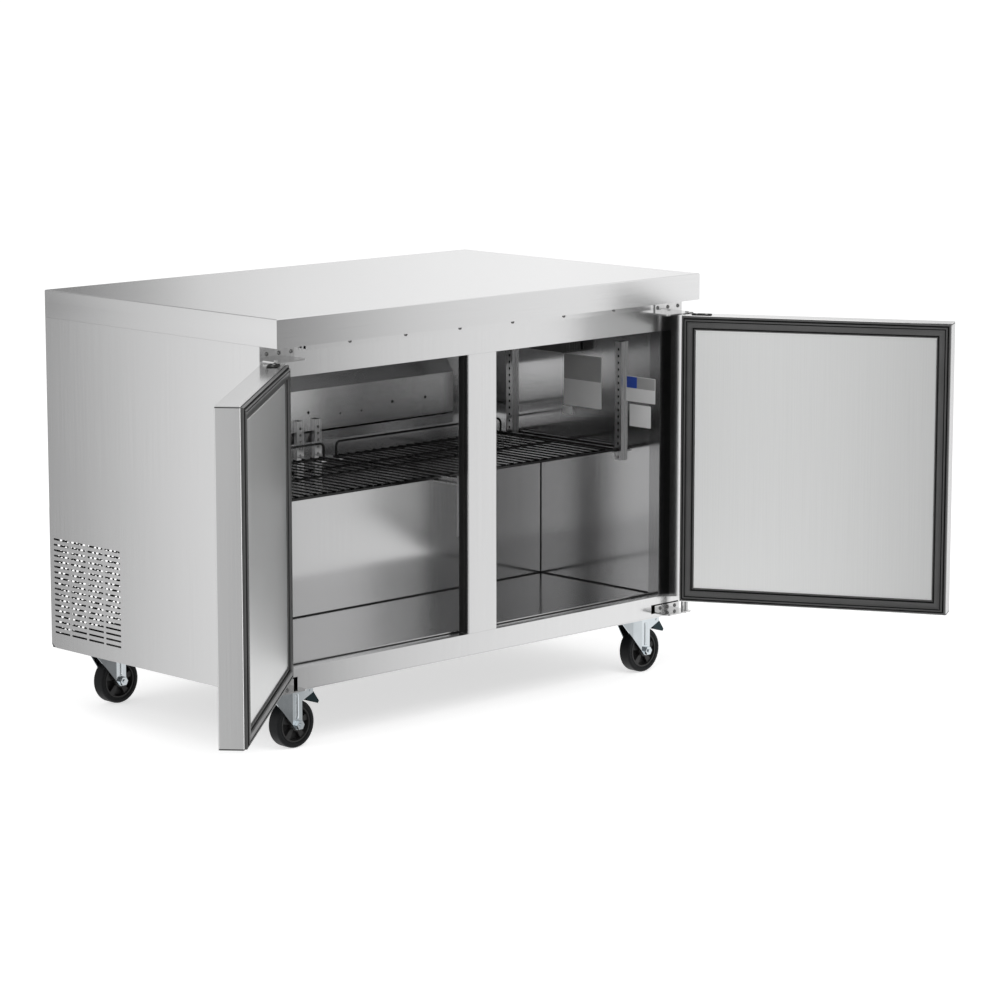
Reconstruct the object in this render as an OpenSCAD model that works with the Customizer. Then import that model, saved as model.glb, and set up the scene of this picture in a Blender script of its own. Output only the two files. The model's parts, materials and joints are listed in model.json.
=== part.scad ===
// Two-door under counter refrigerator on swivel casters.
// Millimetres, +Z up, doors towards -Y. Origin on the floor under the centre of the worktop.
// Each door is drawn at its resting opening angle and hangs on two pins.

/* [Cabinet] */
// Overall width of the cabinet and the worktop
cab_w = 1219; // [1000:1:1500]
// Height of the cabinet body between the casters and the worktop
body_h = 705.5; // [660:0.5:780]
// Depth of the cabinet body from the front frame to the back
body_d = 687.5; // [640:0.5:760]
// Thickness of the insulated side walls
wall_t = 68.5; // [50:0.5:80]
// Thickness of the insulated upper back wall
back_t = 65; // [50:1:90]
// Thickness of the insulated ceiling
ceiling_t = 60.5; // [50:0.5:66]
// Thickness of the insulated floor
floor_t = 51; // [49:0.5:60]
// Sheet thickness of the outer skins
skin_t = 1.2; // [0.8:0.1:1.6]
// Sheet thickness of the inner liner
liner_t = 1; // [0.7:0.1:1.4]

/* [Worktop] */
// Height of the worktop's edge
top_t = 58; // [40:1:70]
// How far the worktop stands out past the front frame
top_overhang = 52.5; // [30:0.5:60]
// Outside radius of the worktop's folded edges
top_bend = 2.5; // [1.5:0.1:4]
// Distance of the drip strip's face from the front frame
drip_d = 12; // [8:0.5:20]
// Height of the drip strip
drip_h = 16; // [10:0.5:20]

/* [Front frame] */
// Visible height of the top rail
top_rail_h = 67.5; // [62:0.5:74]
// Visible height of the bottom rail
bottom_rail_h = 47; // [44:0.5:60]
// Width of the centre mullion
mullion_w = 83; // [60:1:110]
// Depth of the rails, stiles and mullion
frame_d = 30; // [24:1:40]
// Width of the side panels' front flanges
flange_w = 34; // [26:0.5:44]

/* [Inside] */
// Depth of the storage space below the step
lower_depth = 337.5; // [300:0.5:360]
// Height of the step above the inner floor
step_h = 259; // [240:1:280]
// Thickness of the insulated walls round the machine compartment
step_t = 55; // [40:1:65]
// Height of the shelf's top above the inner floor
shelf_h = 319; // [300:1:380]
// Depth of a wire shelf
shelf_d = 370; // [340:1:390]
// Pitch of the shelf's wires
wire_pitch = 25.4; // [18:0.2:40]
// Radius of the shelf's deck wires
wire_r = 1.7; // [1.3:0.1:2.2]
// Radius of the shelf's frame wires
rim_r = 3; // [2.6:0.1:4]
// Height of the shelf's rear guard above its deck
guard_h = 30; // [20:1:45]
// Depth of the shelf pilasters
pilaster_d = 10; // [8:0.5:14]
// Width of the shelf pilasters
pilaster_w = 20; // [16:0.5:26]
// Spacing of the pilasters' holes
pilaster_pitch = 15; // [12:0.5:25]
// Height of the evaporator cover's upright face
cover_h = 91; // [80:1:110]
// Depth of the evaporator cover at its foot
cover_d = 65; // [55:1:80]
// Slope of the evaporator cover's upper face, in degrees
cover_slope = 55; // [50:1:60]
// Radius of the evaporator fans
evap_fan_r = 36; // [30:1:38]
// Depth of the drain pan under the evaporator
drain_h = 22; // [16:1:30]

/* [Doors] */
// Width of a door
door_w = 592.6; // [480:0.1:594]
// Thickness of a door without its gasket
door_t = 48.5; // [40:0.5:60]
// Distance of a closed door's hinge edge from the cabinet's side
door_inset = 7.5; // [5:0.5:14]
// Gap between the worktop's underside and the door's top
door_drop = 32.8; // [31:0.1:38]
// Gap between the cabinet's underside and the door's bottom
door_lift = 36.3; // [34:0.1:42]
// Thickness of the gasket
gasket_t = 9.1; // [7:0.1:11]
// Width of the gasket
gasket_w = 30; // [24:1:34]
// Gap between the gasket and the frame of a closed door
gasket_gap = 0.9; // [0.8:0.1:2]
// Opening angle of the left door as drawn
left_open = 139.1; // [0:0.1:150]
// Opening angle of the right door as drawn
right_open = 120.2; // [0:0.1:150]
// Length of the recessed pull at the top of a door's face
pull_l = 160; // [110:1:200]
// Height of the pull from the door's top to its bottom
pull_h = 50; // [40:1:60]
// Depth of the pull
pull_d = 22; // [16:0.5:30]

/* [Hinges] */
// Distance of the hinge pins from the cabinet's side
pin_inset = 15.5; // [13:0.1:22]
// Distance of the hinge pins from the front frame
pin_front = 30.3; // [29:0.1:36]
// Radius of the hinge pins
pin_r = 4; // [3:0.1:5]
// Running clearance of the pins and axles, on the radius
run_gap = 0.05; // [0.02:0.01:0.1]
// Width of a hinge bracket
bracket_w = 84; // [70:1:95]
// Length of a hinge bracket's arm
bracket_arm = 42; // [38:1:48]
// Sheet thickness of the hinge brackets
bracket_t = 3; // [2:0.1:4]

/* [Casters] */
// Overall height of a caster
caster_h = 130; // [124:1:140]
// Radius of a caster's wheel
wheel_r = 50; // [44:0.5:52]
// Width of a caster's tyre
wheel_w = 30; // [24:1:32]
// Distance of the wheel's axle from the swivel axis
trail = 27.5; // [24:0.5:34]
// Distance of the swivel axes from the cabinet's sides
caster_in = 95.5; // [80:0.5:120]
// Distance of the front swivel axes from the front frame
caster_front = 57.5; // [50:0.5:80]
// Distance of the rear swivel axes from the back
caster_back = 59; // [50:0.5:80]
// Radius of the wheels' axles
axle_r = 4; // [3:0.5:5]

/* [Machine compartment] */
// Length of a ventilation slot
slot_l = 50.5; // [30:0.5:52]
// Height of a ventilation slot
slot_h = 4; // [3:0.2:6]
// Spacing of the slots along a row
slot_pitch = 57.5; // [56:0.5:60]
// Spacing of the rows of slots
row_pitch = 11.8; // [10:0.1:12.2]
// Spacing of the round holes in the rear cover
perf_pitch = 18; // [17:0.5:18.5]
// Radius of the round holes in the rear cover
perf_r = 6; // [4:0.5:7]
// Radius of the compressor's shell
comp_r = 70; // [60:1:78]
// Height of the compressor's shell
comp_h = 165; // [140:1:180]
// Radius of the condenser fan
cond_fan_r = 88; // [70:1:90]

/* [Hidden] */

$fn = 48;
fit = 0.2;            // gap between pieces that lie against each other
eps = 0.5;            // how far a cutter runs past what it cuts

// ---- planes of the cabinet
xs = cab_w / 2;                                   // outer side faces
yf = top_overhang - (body_d + top_overhang) / 2;  // face of the front frame
yb = yf + body_d;                                 // back
z0 = caster_h;                                    // underside of the cabinet
z1 = z0 + body_h;                                 // underside of the worktop
// ---- planes of the storage space
xi = xs - wall_t;
yi = yf + frame_d;
zi = z0 + floor_t;
y_low = yi + lower_depth;      // lower back wall
z_step = zi + step_h;          // top of the step
y_up = yb - back_t;            // upper back wall
z_top = z1 - ceiling_t;        // ceiling
// ---- machine compartment
y_mach = y_low + step_t;
z_mach = z_step - step_t;
base_t = 2;                    // sheet thickness of the base pan
// ---- opening of the front frame
z_sill = z0 + bottom_rail_h;
z_head = z1 - top_rail_h;
x_fl = xs - flange_w;          // seam between flange and stile
// ---- doors
door_x1 = xs - door_inset;            // hinge edge of a closed door
door_x0 = door_x1 - door_w;           // free edge
door_yi = yf - gasket_gap - gasket_t; // inner face of a closed door
door_yo = door_yi - door_t;           // outer face
door_z0 = z0 + door_lift;
door_z1 = z1 - door_drop;
door_skin = 1;                        // sheet thickness of the door's shell
cap_plate = 1.4;                      // thickness of a door cap's plate
cap_gap = 1.8;                        // shadow gap under the cap's plate
cap_plug = 14;                        // depth of the cap's plug inside the shell
lip_w = 14;                           // width of the shell's folded lips
gasket_in = 2;                        // the gasket's outline inside the door's edge
pin = [xs - pin_inset, yf - pin_front];
cap_wall = 1.5;                       // thickness of the cap's flange
bush_wall = 3;
hinge_plate_l = 54;                   // length of the door's hinge plate from the pin
// ---- hinges
arm_gap = 2.5;                        // gap between the upper arm and the door
top_arm_z = door_z1 + arm_gap;
low_arm_z = z0 + 10;
bracket_h = 27;                       // height of the upper bracket's plate
low_bracket_h = 17;
low_bracket_w = bracket_w - 8;
bracket_out = 4;                      // gap between the bracket and the cabinet's side
notch_w = bracket_w + 3;              // length of the lower bracket's cut-out, past its plate
notch_h = low_bracket_h + 3;
screw_r = 2.5;
head_r = 4.2;
head_h = 2;
screw_pitch = 32;
low_screw_pitch = 23.5;
screw_edge = 12;                      // first screw from the bracket's outer end
drip_x = xs - 112.5;                  // half length of the drip strip
drip_screw_pitch = 152.4;
drip_wall = 2.5;
// ---- shelves
shelf_z = zi + shelf_h;               // top of the deck
shelf_y0 = yi + 82.5;                 // front of a shelf
shelf_y1 = shelf_y0 + shelf_d;
shelf_x0 = 12;
shelf_x1 = xi - pilaster_d - 3;
rim_z = shelf_z - 2 * wire_r - rim_r + 0.8;   // the deck wires sink 0.8 into the rim
clip_t = 3;
clip_z = rim_z - rim_r - 0.3;
pil_t = 1.2;
pil_z0 = z_step + 30;
pil_z1 = z_top - 40;
pil_y = [shelf_y0 + 4, shelf_y1 - 23];
pil_mid_x = 26;
// ---- evaporator
cov_y = y_up - cover_d;               // upright face of the cover
cov_z0 = z_step + 103;
cov_z1 = cov_z0 + cover_h;
cov_x = xi - 94;
cov_t = 1;
cov_rise = (cover_d - fit) * tan(cover_slope);
fan_xs = [-cov_x + 120, -cov_x + 310];
fan_along = 0.45;                     // place of the fans up the sloping face
fan_at = [cov_y + fan_along * (cover_d - fit), cov_z1 + fan_along * cov_rise];
cover_screws = [-cov_x + 87, -cov_x + 189, 7, cov_x - 189, cov_x - 87];
// ---- casters
axle_z = wheel_r - 0.4;               // the tyre's tread settles 0.4 into its ribs
caster_x = xs - caster_in;
caster_yf = yf + caster_front;
caster_yb = yb - caster_back;
plate_t = 3;
plate_half = [48, 35];                // half size of a caster's top plate
plate_bolt = [36, 24];                // place of its bolts
bolt_hole = 4.2;
race_h = 5.6;
race_r = 29;
fork_top = caster_h - fit - plate_t - race_h - 0.4;
disc_t = 2.5;
leg_t = 2.5;
leg_y = wheel_w / 2 + 4.3;            // inner faces of the fork's legs
leg_end_r = 11;
king_r = 6;
pedal_x = 60;
pedal_z = fork_top - 6;
pedal_pin = 2.5;
hub_w = 2 * leg_y - 1;
guard_r = 14;                         // radius of the thread guards at the wheel's hub
nut_r = 9.8;
// ---- machine compartment
cond_x = xs - 210;                    // middle of the condenser
comp_x = 60;
comp_y = y_mach + 130;
cond_fan_x = cond_x - 75;
cond_y = (y_mach + yb) / 2;
cond_z = z0 + base_t + 112;

// ---------------------------------------------------------------- helpers
// Box between two opposite corners
module box(a, b) { translate(a) cube(b - a); }

// The children and their mirror image in the centre plane
module both() { children(); mirror([1, 0, 0]) children(); }

// Extrudes an outline drawn in (Y, Z) along X, from x0 to x1
module along_x(x0, x1) {
    translate([x0, 0, 0]) rotate([90, 0, 90]) linear_extrude(x1 - x0) children();
}

// Extrudes an outline drawn in (X, Z) along Y, from y0 to y1
module along_y(y0, y1) {
    translate([0, y1, 0]) rotate([90, 0, 0]) linear_extrude(y1 - y0) children();
}

// Rectangle with rounded corners, between two corners
module round_rect(a, b, r) {
    for (x = [a.x + r, b.x - r], y = [a.y + r, b.y - r]) translate([x, y]) circle(r);
    translate([a.x + r, a.y]) square([b.x - a.x - 2 * r, b.y - a.y]);
    translate([a.x, a.y + r]) square([b.x - a.x, b.y - a.y - 2 * r]);
}

// One slot with round ends
module slot(l, h) {
    square([l - h, h], center = true);
    for (s = [-1, 1]) translate([s * (l - h) / 2, 0]) circle(h / 2, $fn = 16);
}

// Pattern of slots: cols along the first axis, rows along the second, from its lower left slot
module slots(cols, rows) {
    for (i = [0 : cols - 1], j = [0 : rows - 1])
        translate([i * slot_pitch, j * row_pitch]) slot(slot_l, slot_h);
}

// Hangs what is drawn as a closed right-hand door at its opening angle
module hang(angle) {
    translate([pin.x, pin.y, 0]) rotate([0, 0, angle]) translate([-pin.x, -pin.y, 0]) children();
}

module right_door() { hang(right_open) children(); }
module left_door() { mirror([1, 0, 0]) hang(left_open) children(); }

// Places a caster's piece at one of the four swivel axes
module caster_at(sx, rear) {
    translate([sx * caster_x, rear ? caster_yb : caster_yf, 0]) children();
}

// Pan-head screw along -Y: the head stands on y = 0, the shank runs to +Y
module screw(shank) {
    rotate([-90, 0, 0]) cylinder(h = shank, r = screw_r - 0.1, $fn = 20);
    rotate([90, 0, 0]) rotate_extrude($fn = 32)
        polygon([[0, 0], [head_r, 0], [head_r, head_h * 0.5], [head_r * 0.7, head_h * 0.9],
                 [1.6, head_h], [1.2, head_h * 0.45], [0, head_h * 0.45]]);
}

// ---------------------------------------------------------------- cabinet shell
// Folded top: a tray turned upside down, with rounded folds
module worktop() {
    z2 = z1 + top_t;
    yfront = yf - top_overhang;
    color("gainsboro") difference() {
        intersection() {
            along_x(-xs, xs) {
                round_rect([yfront, z2 - top_t / 2], [yb, z2], top_bend);
                translate([yfront, z1]) square([yb - yfront, top_t / 2 + top_bend]);
            }
            along_y(yfront - eps, yb + eps) {
                round_rect([-xs, z2 - top_t / 2], [xs, z2], top_bend);
                translate([-xs, z1 - eps]) square([2 * xs, top_t / 2 + top_bend]);
            }
        }
        box([-xs + skin_t, yfront + skin_t, z1 + skin_t], [xs - skin_t, yb - skin_t, z2 - skin_t]);
        box([-xs + 20, yf + 20, z1 - eps], [xs - 20, yb - 20, z1 + 2 * skin_t]);
    }
}

// Side panel with its front flange, cut for the lower hinge, and the ventilation slots
module side_panel() {
    corner = 18;
    cols = 4;
    rows = 18;
    first_y = yb - 13 - slot_l / 2;
    color("silver") difference() {
        union() {
            along_x(xs - skin_t, xs) difference() {
                translate([yf, z0]) square([body_d, body_h - fit]);
                translate([yb - corner, z0]) difference() {
                    translate([0, -eps]) square([corner + eps, corner + eps]);
                    translate([0, corner]) circle(corner);
                }
                translate([first_y, z0 + 34.3]) mirror([1, 0]) slots(cols, rows);
            }
            box([x_fl + fit, yf, z0], [xs, yf + skin_t, z1 - fit]);
            box([x_fl + fit, yf, z0 + base_t + fit], [x_fl + fit + skin_t, yf + 12, z1 - fit]);
        }
        box([x_fl - eps, yf - eps, low_arm_z - 0.3],
            [xs - bracket_out + fit, yf + 12 + eps, low_arm_z - 0.3 + notch_h]);
    }
}
module side_panel_right() { side_panel(); }
module side_panel_left() { mirror([1, 0, 0]) side_panel(); }

// Upper back sheet with a fold along its foot
module back_panel() {
    x1 = xs - skin_t - fit;
    zb = z_mach + 45;
    color("silver") {
        box([-x1, yb - skin_t, zb], [x1, yb, z1 - fit]);
        box([-x1, yb - 14, zb], [x1, yb - skin_t, zb + skin_t]);
    }
}

// Shallow cover over the machine compartment, with a staggered field of round holes at each end
module rear_vent_cover() {
    x1 = xs - 2;
    zt = z_mach + 45 - fit;
    depth = 3;
    edge = 24;
    cols = 15;
    rows = 13;
    color("silver") difference() {
        box([-x1, yb + fit, z0 + 4], [x1, yb + depth, zt]);
        box([-x1 + skin_t, yb, z0 + 4 + skin_t], [x1 - skin_t, yb + depth - skin_t, zt - skin_t]);
        both() along_y(yb, yb + depth + eps) translate([x1 - edge, z0 + 4 + edge])
            for (i = [0 : cols - 1], j = [0 : rows - 1])
                translate([-(i + (j % 2) / 2) * perf_pitch, j * perf_pitch * sin(60)])
                    circle(perf_r, $fn = 20);
    }
}

// Base sheet with turned-up ends, drilled for the casters' bolts
module base_pan() {
    x1 = xs - skin_t - fit;
    y0 = yf + skin_t + fit;
    y1 = yb - skin_t;
    color("dimgray") difference() {
        union() {
            box([-x1, y0, z0], [x1, y1, z0 + base_t]);
            box([-x1, y1 - base_t, z0], [x1, y1, z0 + 24]);
        }
        for (sx = [-1, 1], rear = [false, true], bx = [-1, 1], by = [-1, 1])
            caster_at(sx, rear) translate([bx * plate_bolt.x, by * plate_bolt.y, z0 - 1])
                cylinder(h = base_t + 2, r = bolt_hole);
    }
}

// Channel section used by both rails: face towards -Y, legs to the back
module channel(za, zb) {
    difference() {
        translate([yf, za]) square([frame_d - fit, zb - za]);
        translate([yf + skin_t, za + skin_t]) square([frame_d, zb - za - 2 * skin_t]);
    }
}
module top_rail() {
    color("gainsboro") along_x(-x_fl, x_fl) channel(z_head, z1 - fit);
}
module bottom_rail() {
    color("gainsboro") difference() {
        along_x(-x_fl, x_fl) channel(z0 + base_t + fit, z_sill);
        both() box([xs - notch_w - bracket_out, yf - eps, low_arm_z - 0.3],
                   [xs, yf + skin_t + eps, low_arm_z - 0.3 + notch_h]);
    }
    color("gainsboro") box([-x_fl, yf, z0], [x_fl, yf + skin_t, z0 + base_t]);
}

// Closed box-section post between the rails
module mullion() {
    w = mullion_w / 2;
    r = 2;
    color("gainsboro") translate([0, 0, z_sill + fit]) linear_extrude(z_head - z_sill - 2 * fit)
        difference() {
            round_rect([-w, yf], [w, yf + frame_d], r);
            round_rect([-w + skin_t, yf + skin_t], [w - skin_t, yf + frame_d - skin_t], r - 1);
        }
}

// Stiles between the opening and the side panels' flanges
module front_stiles() {
    color("gainsboro") both() translate([0, 0, z_sill + fit])
        linear_extrude(z_head - z_sill - 2 * fit) {
            translate([xi, yf]) square([x_fl - xi, skin_t]);
            translate([xi, yf]) square([skin_t, frame_d - fit]);
        }
}

// Hollow strip under the worktop's overhang that keeps drips off the doors
module drip_strip() {
    yd = yf - drip_d;
    t = drip_wall;
    color("gainsboro") difference() {
        box([-drip_x, yd, z1 - fit - drip_h], [drip_x, yf - fit, z1 - fit]);
        box([-drip_x - eps, yd + t, z1 - fit - drip_h + t], [drip_x + eps, yf - fit - t, z1 - fit - t]);
        for (i = [-2.5 : 2.5]) translate([i * drip_screw_pitch, yd - eps, z1 - fit - drip_h + 9])
            rotate([-90, 0, 0]) cylinder(h = drip_wall + 2 * eps, r = screw_r, $fn = 20);
    }
}

// ---------------------------------------------------------------- liner and insulation
// Floor and ceiling, each with a front lip folded down or up to the rail
module liner_floor() {
    color("silver") along_x(-xi + fit, xi - fit) {
        translate([yi, zi - liner_t]) square([y_low - fit - yi, liner_t]);
        translate([yi, z_sill + fit]) square([liner_t, zi - z_sill - fit]);
    }
}
module liner_sides() {
    color("silver") both() along_x(xi, xi + liner_t) polygon([
        [yi, zi - liner_t], [y_low + liner_t, zi - liner_t], [y_low + liner_t, z_step - liner_t],
        [y_up + liner_t, z_step - liner_t], [y_up + liner_t, z_top + liner_t],
        [yi, z_top + liner_t]]);
}
// Lower back wall, step and upper back wall
module liner_back() {
    x = xi - fit;
    color("silver") {
        box([-x, y_low, zi - liner_t], [x, y_low + liner_t, z_step - liner_t - fit]);
        box([-x, y_low, z_step - liner_t], [x, y_up - fit, z_step]);
        box([-x, y_up, z_step - liner_t], [x, y_up + liner_t, z_top]);
    }
}
module liner_ceiling() {
    color("silver") along_x(-xi + fit, xi - fit) {
        translate([yi, z_top + fit]) square([y_up - fit - yi, liner_t]);
        translate([yi, z_head + fit]) square([liner_t, z_top + liner_t - z_head]);
    }
}

// Foam between the skins and the liner, and the stiffening board inside the worktop
module insulation() {
    g = fit;
    xo = xs - skin_t - g;
    xl = xi + liner_t + g;
    color("khaki") difference() {
        box([-xo, yi + liner_t + g, z0 + base_t + g], [xo, yb - 14 - g, z1 - fit]);
        // storage space with its liner
        box([-xl, yf, zi - liner_t - g], [xl, y_low + liner_t + g, z_top + liner_t + 2 * g]);
        box([-xl, yf, z_step - liner_t - g], [xl, y_up + liner_t + g, z_top + liner_t + 2 * g]);
        // machine compartment
        box([-xs, y_mach, z0], [xs, yb, z_mach]);
    }
    color("khaki") box([-xs + skin_t + g, yf - top_overhang + skin_t + g, z1 + 2 * skin_t + g],
                       [xs - skin_t - g, yb - skin_t - g, z1 + top_t - skin_t - g]);
}

// ---------------------------------------------------------------- evaporator
// Outline of the cover in (Y, Z), drawn d inside its outer faces
module cover_outline(d) {
    k = d / cos(cover_slope);
    y1 = y_up - fit + (d > 0 ? 3 : 0);
    za = cov_z0 - (d > 0 ? 1 : 0);
    polygon([[cov_y + d, za], [cov_y + d, cov_z1 - k + d * tan(cover_slope)],
             [y1, cov_z1 - k + (y1 - cov_y) * tan(cover_slope)], [y1, za]]);
}

// Puts the children on the sloping face at x, with +Z out of the face
module on_slope(x) {
    translate([x, fan_at.x, fan_at.y]) rotate([cover_slope, 0, 0]) children();
}

module evaporator_cover() {
    color("lightgray") difference() {
        along_x(-cov_x, cov_x) cover_outline(0);
        along_x(-cov_x + cov_t, cov_x - cov_t) cover_outline(cov_t);
        for (x = fan_xs) on_slope(x) translate([0, 0, -8]) cylinder(h = 16, r = evap_fan_r + 3);
        for (x = cover_screws) translate([x, cov_y - eps, cov_z0 + 41]) rotate([-90, 0, 0])
            cylinder(h = 3, r = 2.2, $fn = 20);
        for (x = [101, 165]) translate([x, cov_y - eps, cov_z0 + 30]) rotate([-90, 0, 0])
            cylinder(h = 3, r = 1.4, $fn = 20);
    }
}

// Pan that catches the drips, hung from the back wall under the cover
module drain_pan() {
    x1 = cov_x + 6;
    zt = cov_z0 - 5;
    t = 1;
    color("dimgray") difference() {
        along_x(-x1, x1) polygon([[cov_y + 2, zt], [cov_y + 8, zt - drain_h],
                                  [y_up - fit, zt - drain_h], [y_up - fit, zt]]);
        along_x(-x1 + t, x1 - t) polygon([[cov_y + 2 + t, zt + 1], [cov_y + 8 + t, zt - drain_h + t],
                                          [y_up - fit - t, zt - drain_h + t], [y_up - fit - t, zt + 1]]);
    }
}

// Ribbed housing of the thermostat, high on the right wall
module thermostat() {
    y0 = yi + 210;
    y1 = yi + 335;
    x0 = xi - 41;
    za = z_top - 75;
    color("dimgray") {
        difference() {
            box([x0, y0 + 6, za], [xi - fit, y1, z_top - fit]);
            translate([xi - 20, y0 + 5, za + 30]) rotate([-90, 0, 0]) cylinder(h = 8, r = 8, $fn = 32);
        }
        for (x = [x0 + 1 : 5.5 : xi - 4]) box([x, y0, za + 4], [x + 2.2, y0 + 6.5, z_top - 4]);
    }
}

// Finned block: a comb of fins on a solid back, drawn as one outline in plan
module finned_block(length, depth, height, pitch) {
    n = floor(length / pitch);
    web = depth * 0.25;
    linear_extrude(height) {
        translate([0, depth - web]) square([n * pitch, web]);
        for (i = [0 : n - 1]) translate([i * pitch, 0]) square([pitch * 0.45, depth - web + 0.1]);
    }
}

// Fin block with the return bends of its tube at both ends
module evaporator_coil() {
    half = floor((cov_x - 45) / 12) * 12;
    y0 = cov_y + 20;
    color("silver") {
        translate([-half, y0, cov_z0 + 8]) finned_block(2 * half, y_up - fit - y0, cover_h - 20, 12);
        for (s = [-1, 1], k = [0 : 2]) translate([s * (half - 0.5), y_up - 6, cov_z0 + 20 + k * 22])
            rotate([0, -90, -90 * s]) rotate_extrude(angle = 180, $fn = 32)
                translate([7, 0]) circle(3, $fn = 20);
    }
}

// Wire guard with its fan motor and the bars that carry it, over each opening of the cover
module fan_guards() {
    color("dimgray") for (x = fan_xs) on_slope(x) {
        for (r = [14 : 9 : evap_fan_r + 6]) translate([0, 0, 4.6]) rotate_extrude()
            translate([r, 0]) circle(1.2, $fn = 14);
        for (a = [0 : 60 : 120]) rotate([0, 0, a]) translate([0, 0, 3]) rotate([90, 0, 0])
            cylinder(h = 2 * evap_fan_r + 14, r = 1.4, center = true, $fn = 14);
        translate([0, 0, 1]) cylinder(h = 4.8, r = 12, $fn = 32);
        for (a = [0 : 120 : 240]) rotate([0, 0, a + 30]) translate([evap_fan_r + 5.5, 0, 0.2])
            cylinder(h = 3, r = 2, $fn = 16);
        translate([0, 0, -18]) cylinder(h = 19.5, r = 2.5, $fn = 24);
    }
}

// Axial fan about Z: hub with a bore and pitched blades
module fan(r, hub, blades, h, bore) {
    difference() {
        union() {
            cylinder(h = h, r = hub, $fn = 40);
            for (i = [0 : blades - 1]) rotate([0, 0, i * 360 / blades])
                translate([0, 0, h / 2]) rotate([32, 0, 0])
                    translate([hub * 0.8, -hub * 0.55, -0.75]) cube([r - hub * 0.8 - 1, hub * 1.1, 1.5]);
        }
        translate([0, 0, -1]) cylinder(h = h + 2, r = bore, $fn = 24);
    }
}
module evaporator_fan_left() {
    color("black") on_slope(fan_xs[0]) translate([0, 0, -16]) fan(evap_fan_r, 14, 5, 14, 2.5 + run_gap);
}
module evaporator_fan_right() {
    color("black") on_slope(fan_xs[1]) translate([0, 0, -16]) fan(evap_fan_r, 14, 5, 14, 2.5 + run_gap);
}

// ---------------------------------------------------------------- shelves
// Slotted upright: a channel whose web faces -X, at x = 0, from z = 0 up
module pilaster(h) {
    difference() {
        linear_extrude(h) difference() {
            translate([0, -pilaster_w / 2]) square([pilaster_d, pilaster_w]);
            translate([pil_t, -pilaster_w / 2 + pil_t]) square([pilaster_d, pilaster_w - 2 * pil_t]);
        }
        for (z = [pilaster_pitch / 2 : pilaster_pitch : h - 4])
            translate([-eps, 0, z]) rotate([0, 90, 0]) cylinder(h = pil_t + 2 * eps, r = 3.2, $fn = 20);
    }
}
module pilasters() {
    color("silver") both() {
        for (y = pil_y) translate([xi - pilaster_d - fit, y, pil_z0]) pilaster(pil_z1 - pil_z0);
        translate([pil_mid_x, cov_y - pilaster_d - fit, z_step + fit]) rotate([0, 0, 90])
            pilaster(cov_z0 - z_step + 26);
        translate([pil_mid_x, yi + pilaster_d + fit, z_step - 60]) rotate([0, 0, -90])
            pilaster(cov_z0 - z_step + 26);
    }
}

// Brackets hooked on the uprights, one under each corner of a shelf
module shelf_clips() {
    color("gray") both() {
        for (y = pil_y) {
            box([shelf_x1 - 14, y - 7, clip_z - clip_t], [xi - pilaster_d - 2 * fit, y + 7, clip_z]);
            along_y(y - 1, y + 1) polygon([
                [xi - pilaster_d - 2 * fit, clip_z - clip_t], [shelf_x1 - 10, clip_z - clip_t],
                [xi - pilaster_d - 2 * fit, clip_z - clip_t - 16]]);
        }
        box([pil_mid_x - 8, shelf_y1 - 14, clip_z - clip_t],
            [pil_mid_x + 8, cov_y - pilaster_d - 2 * fit, clip_z]);
        box([pil_mid_x - 8, yi + pilaster_d + 2 * fit, clip_z - clip_t],
            [pil_mid_x + 8, shelf_y0 + 14, clip_z]);
    }
}

// Wire along X or Y from a to b
module wire_x(x0, x1, y, z, r) {
    translate([x0, y, z]) rotate([0, 90, 0]) cylinder(h = x1 - x0, r = r, $fn = 20);
}
module wire_y(x, y0, y1, z, r) {
    translate([x, y0, z]) rotate([-90, 0, 0]) cylinder(h = y1 - y0, r = r, $fn = 20);
}

// Welded deck: rim, a second bar along the front, one in the middle, and the deck wires over them
module shelf() {
    n = floor((shelf_x1 - shelf_x0 - 4 * rim_r) / wire_pitch);
    first = (shelf_x0 + shelf_x1 - n * wire_pitch) / 2;
    wire_x(shelf_x0, shelf_x1, shelf_y0 + rim_r, rim_z, rim_r);
    wire_x(shelf_x0 + rim_r, shelf_x1 - rim_r, shelf_y0 + rim_r + 9, rim_z + 0.2, rim_r - 0.2);
    wire_x(shelf_x0, shelf_x1, shelf_y1 - rim_r, rim_z, rim_r);
    wire_x(shelf_x0 + rim_r, shelf_x1 - rim_r, (shelf_y0 + shelf_y1) / 2, rim_z + 0.2, rim_r - 0.2);
    for (x = [shelf_x0 + rim_r, shelf_x1 - rim_r])
        wire_y(x, shelf_y0 + rim_r, shelf_y1 - rim_r, rim_z, rim_r - 0.2);
    for (i = [0 : n]) wire_y(first + i * wire_pitch, shelf_y0 + 1, shelf_y1 - 1, shelf_z - wire_r, wire_r);
}
module shelf_right() { color("dimgray") shelf(); }
module shelf_left() { color("dimgray") mirror([1, 0, 0]) shelf(); }

// Rear stop of a shelf: a bent wire standing on the deck's rear rim
module shelf_guards() {
    r = 2.5;
    bend = 12;
    x0 = shelf_x0 + 6;
    x1 = shelf_x1 - 6;
    y = shelf_y1 - rim_r;
    zt = shelf_z + guard_h - r;
    zb = rim_z + rim_r + 0.1;
    color("dimgray") both() {
        wire_x(x0 + bend, x1 - bend, y, zt, r);
        for (x = [x0, x1]) translate([x, y, zb]) cylinder(h = zt - bend - zb, r = r, $fn = 20);
        translate([x0 + bend, y, zt - bend]) rotate([90, 0, 0]) rotate([0, 0, 90])
            rotate_extrude(angle = 90, $fn = 32) translate([bend, 0]) circle(r, $fn = 20);
        translate([x1 - bend, y, zt - bend]) rotate([90, 0, 0])
            rotate_extrude(angle = 90, $fn = 32) translate([bend, 0]) circle(r, $fn = 20);
    }
}

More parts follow.
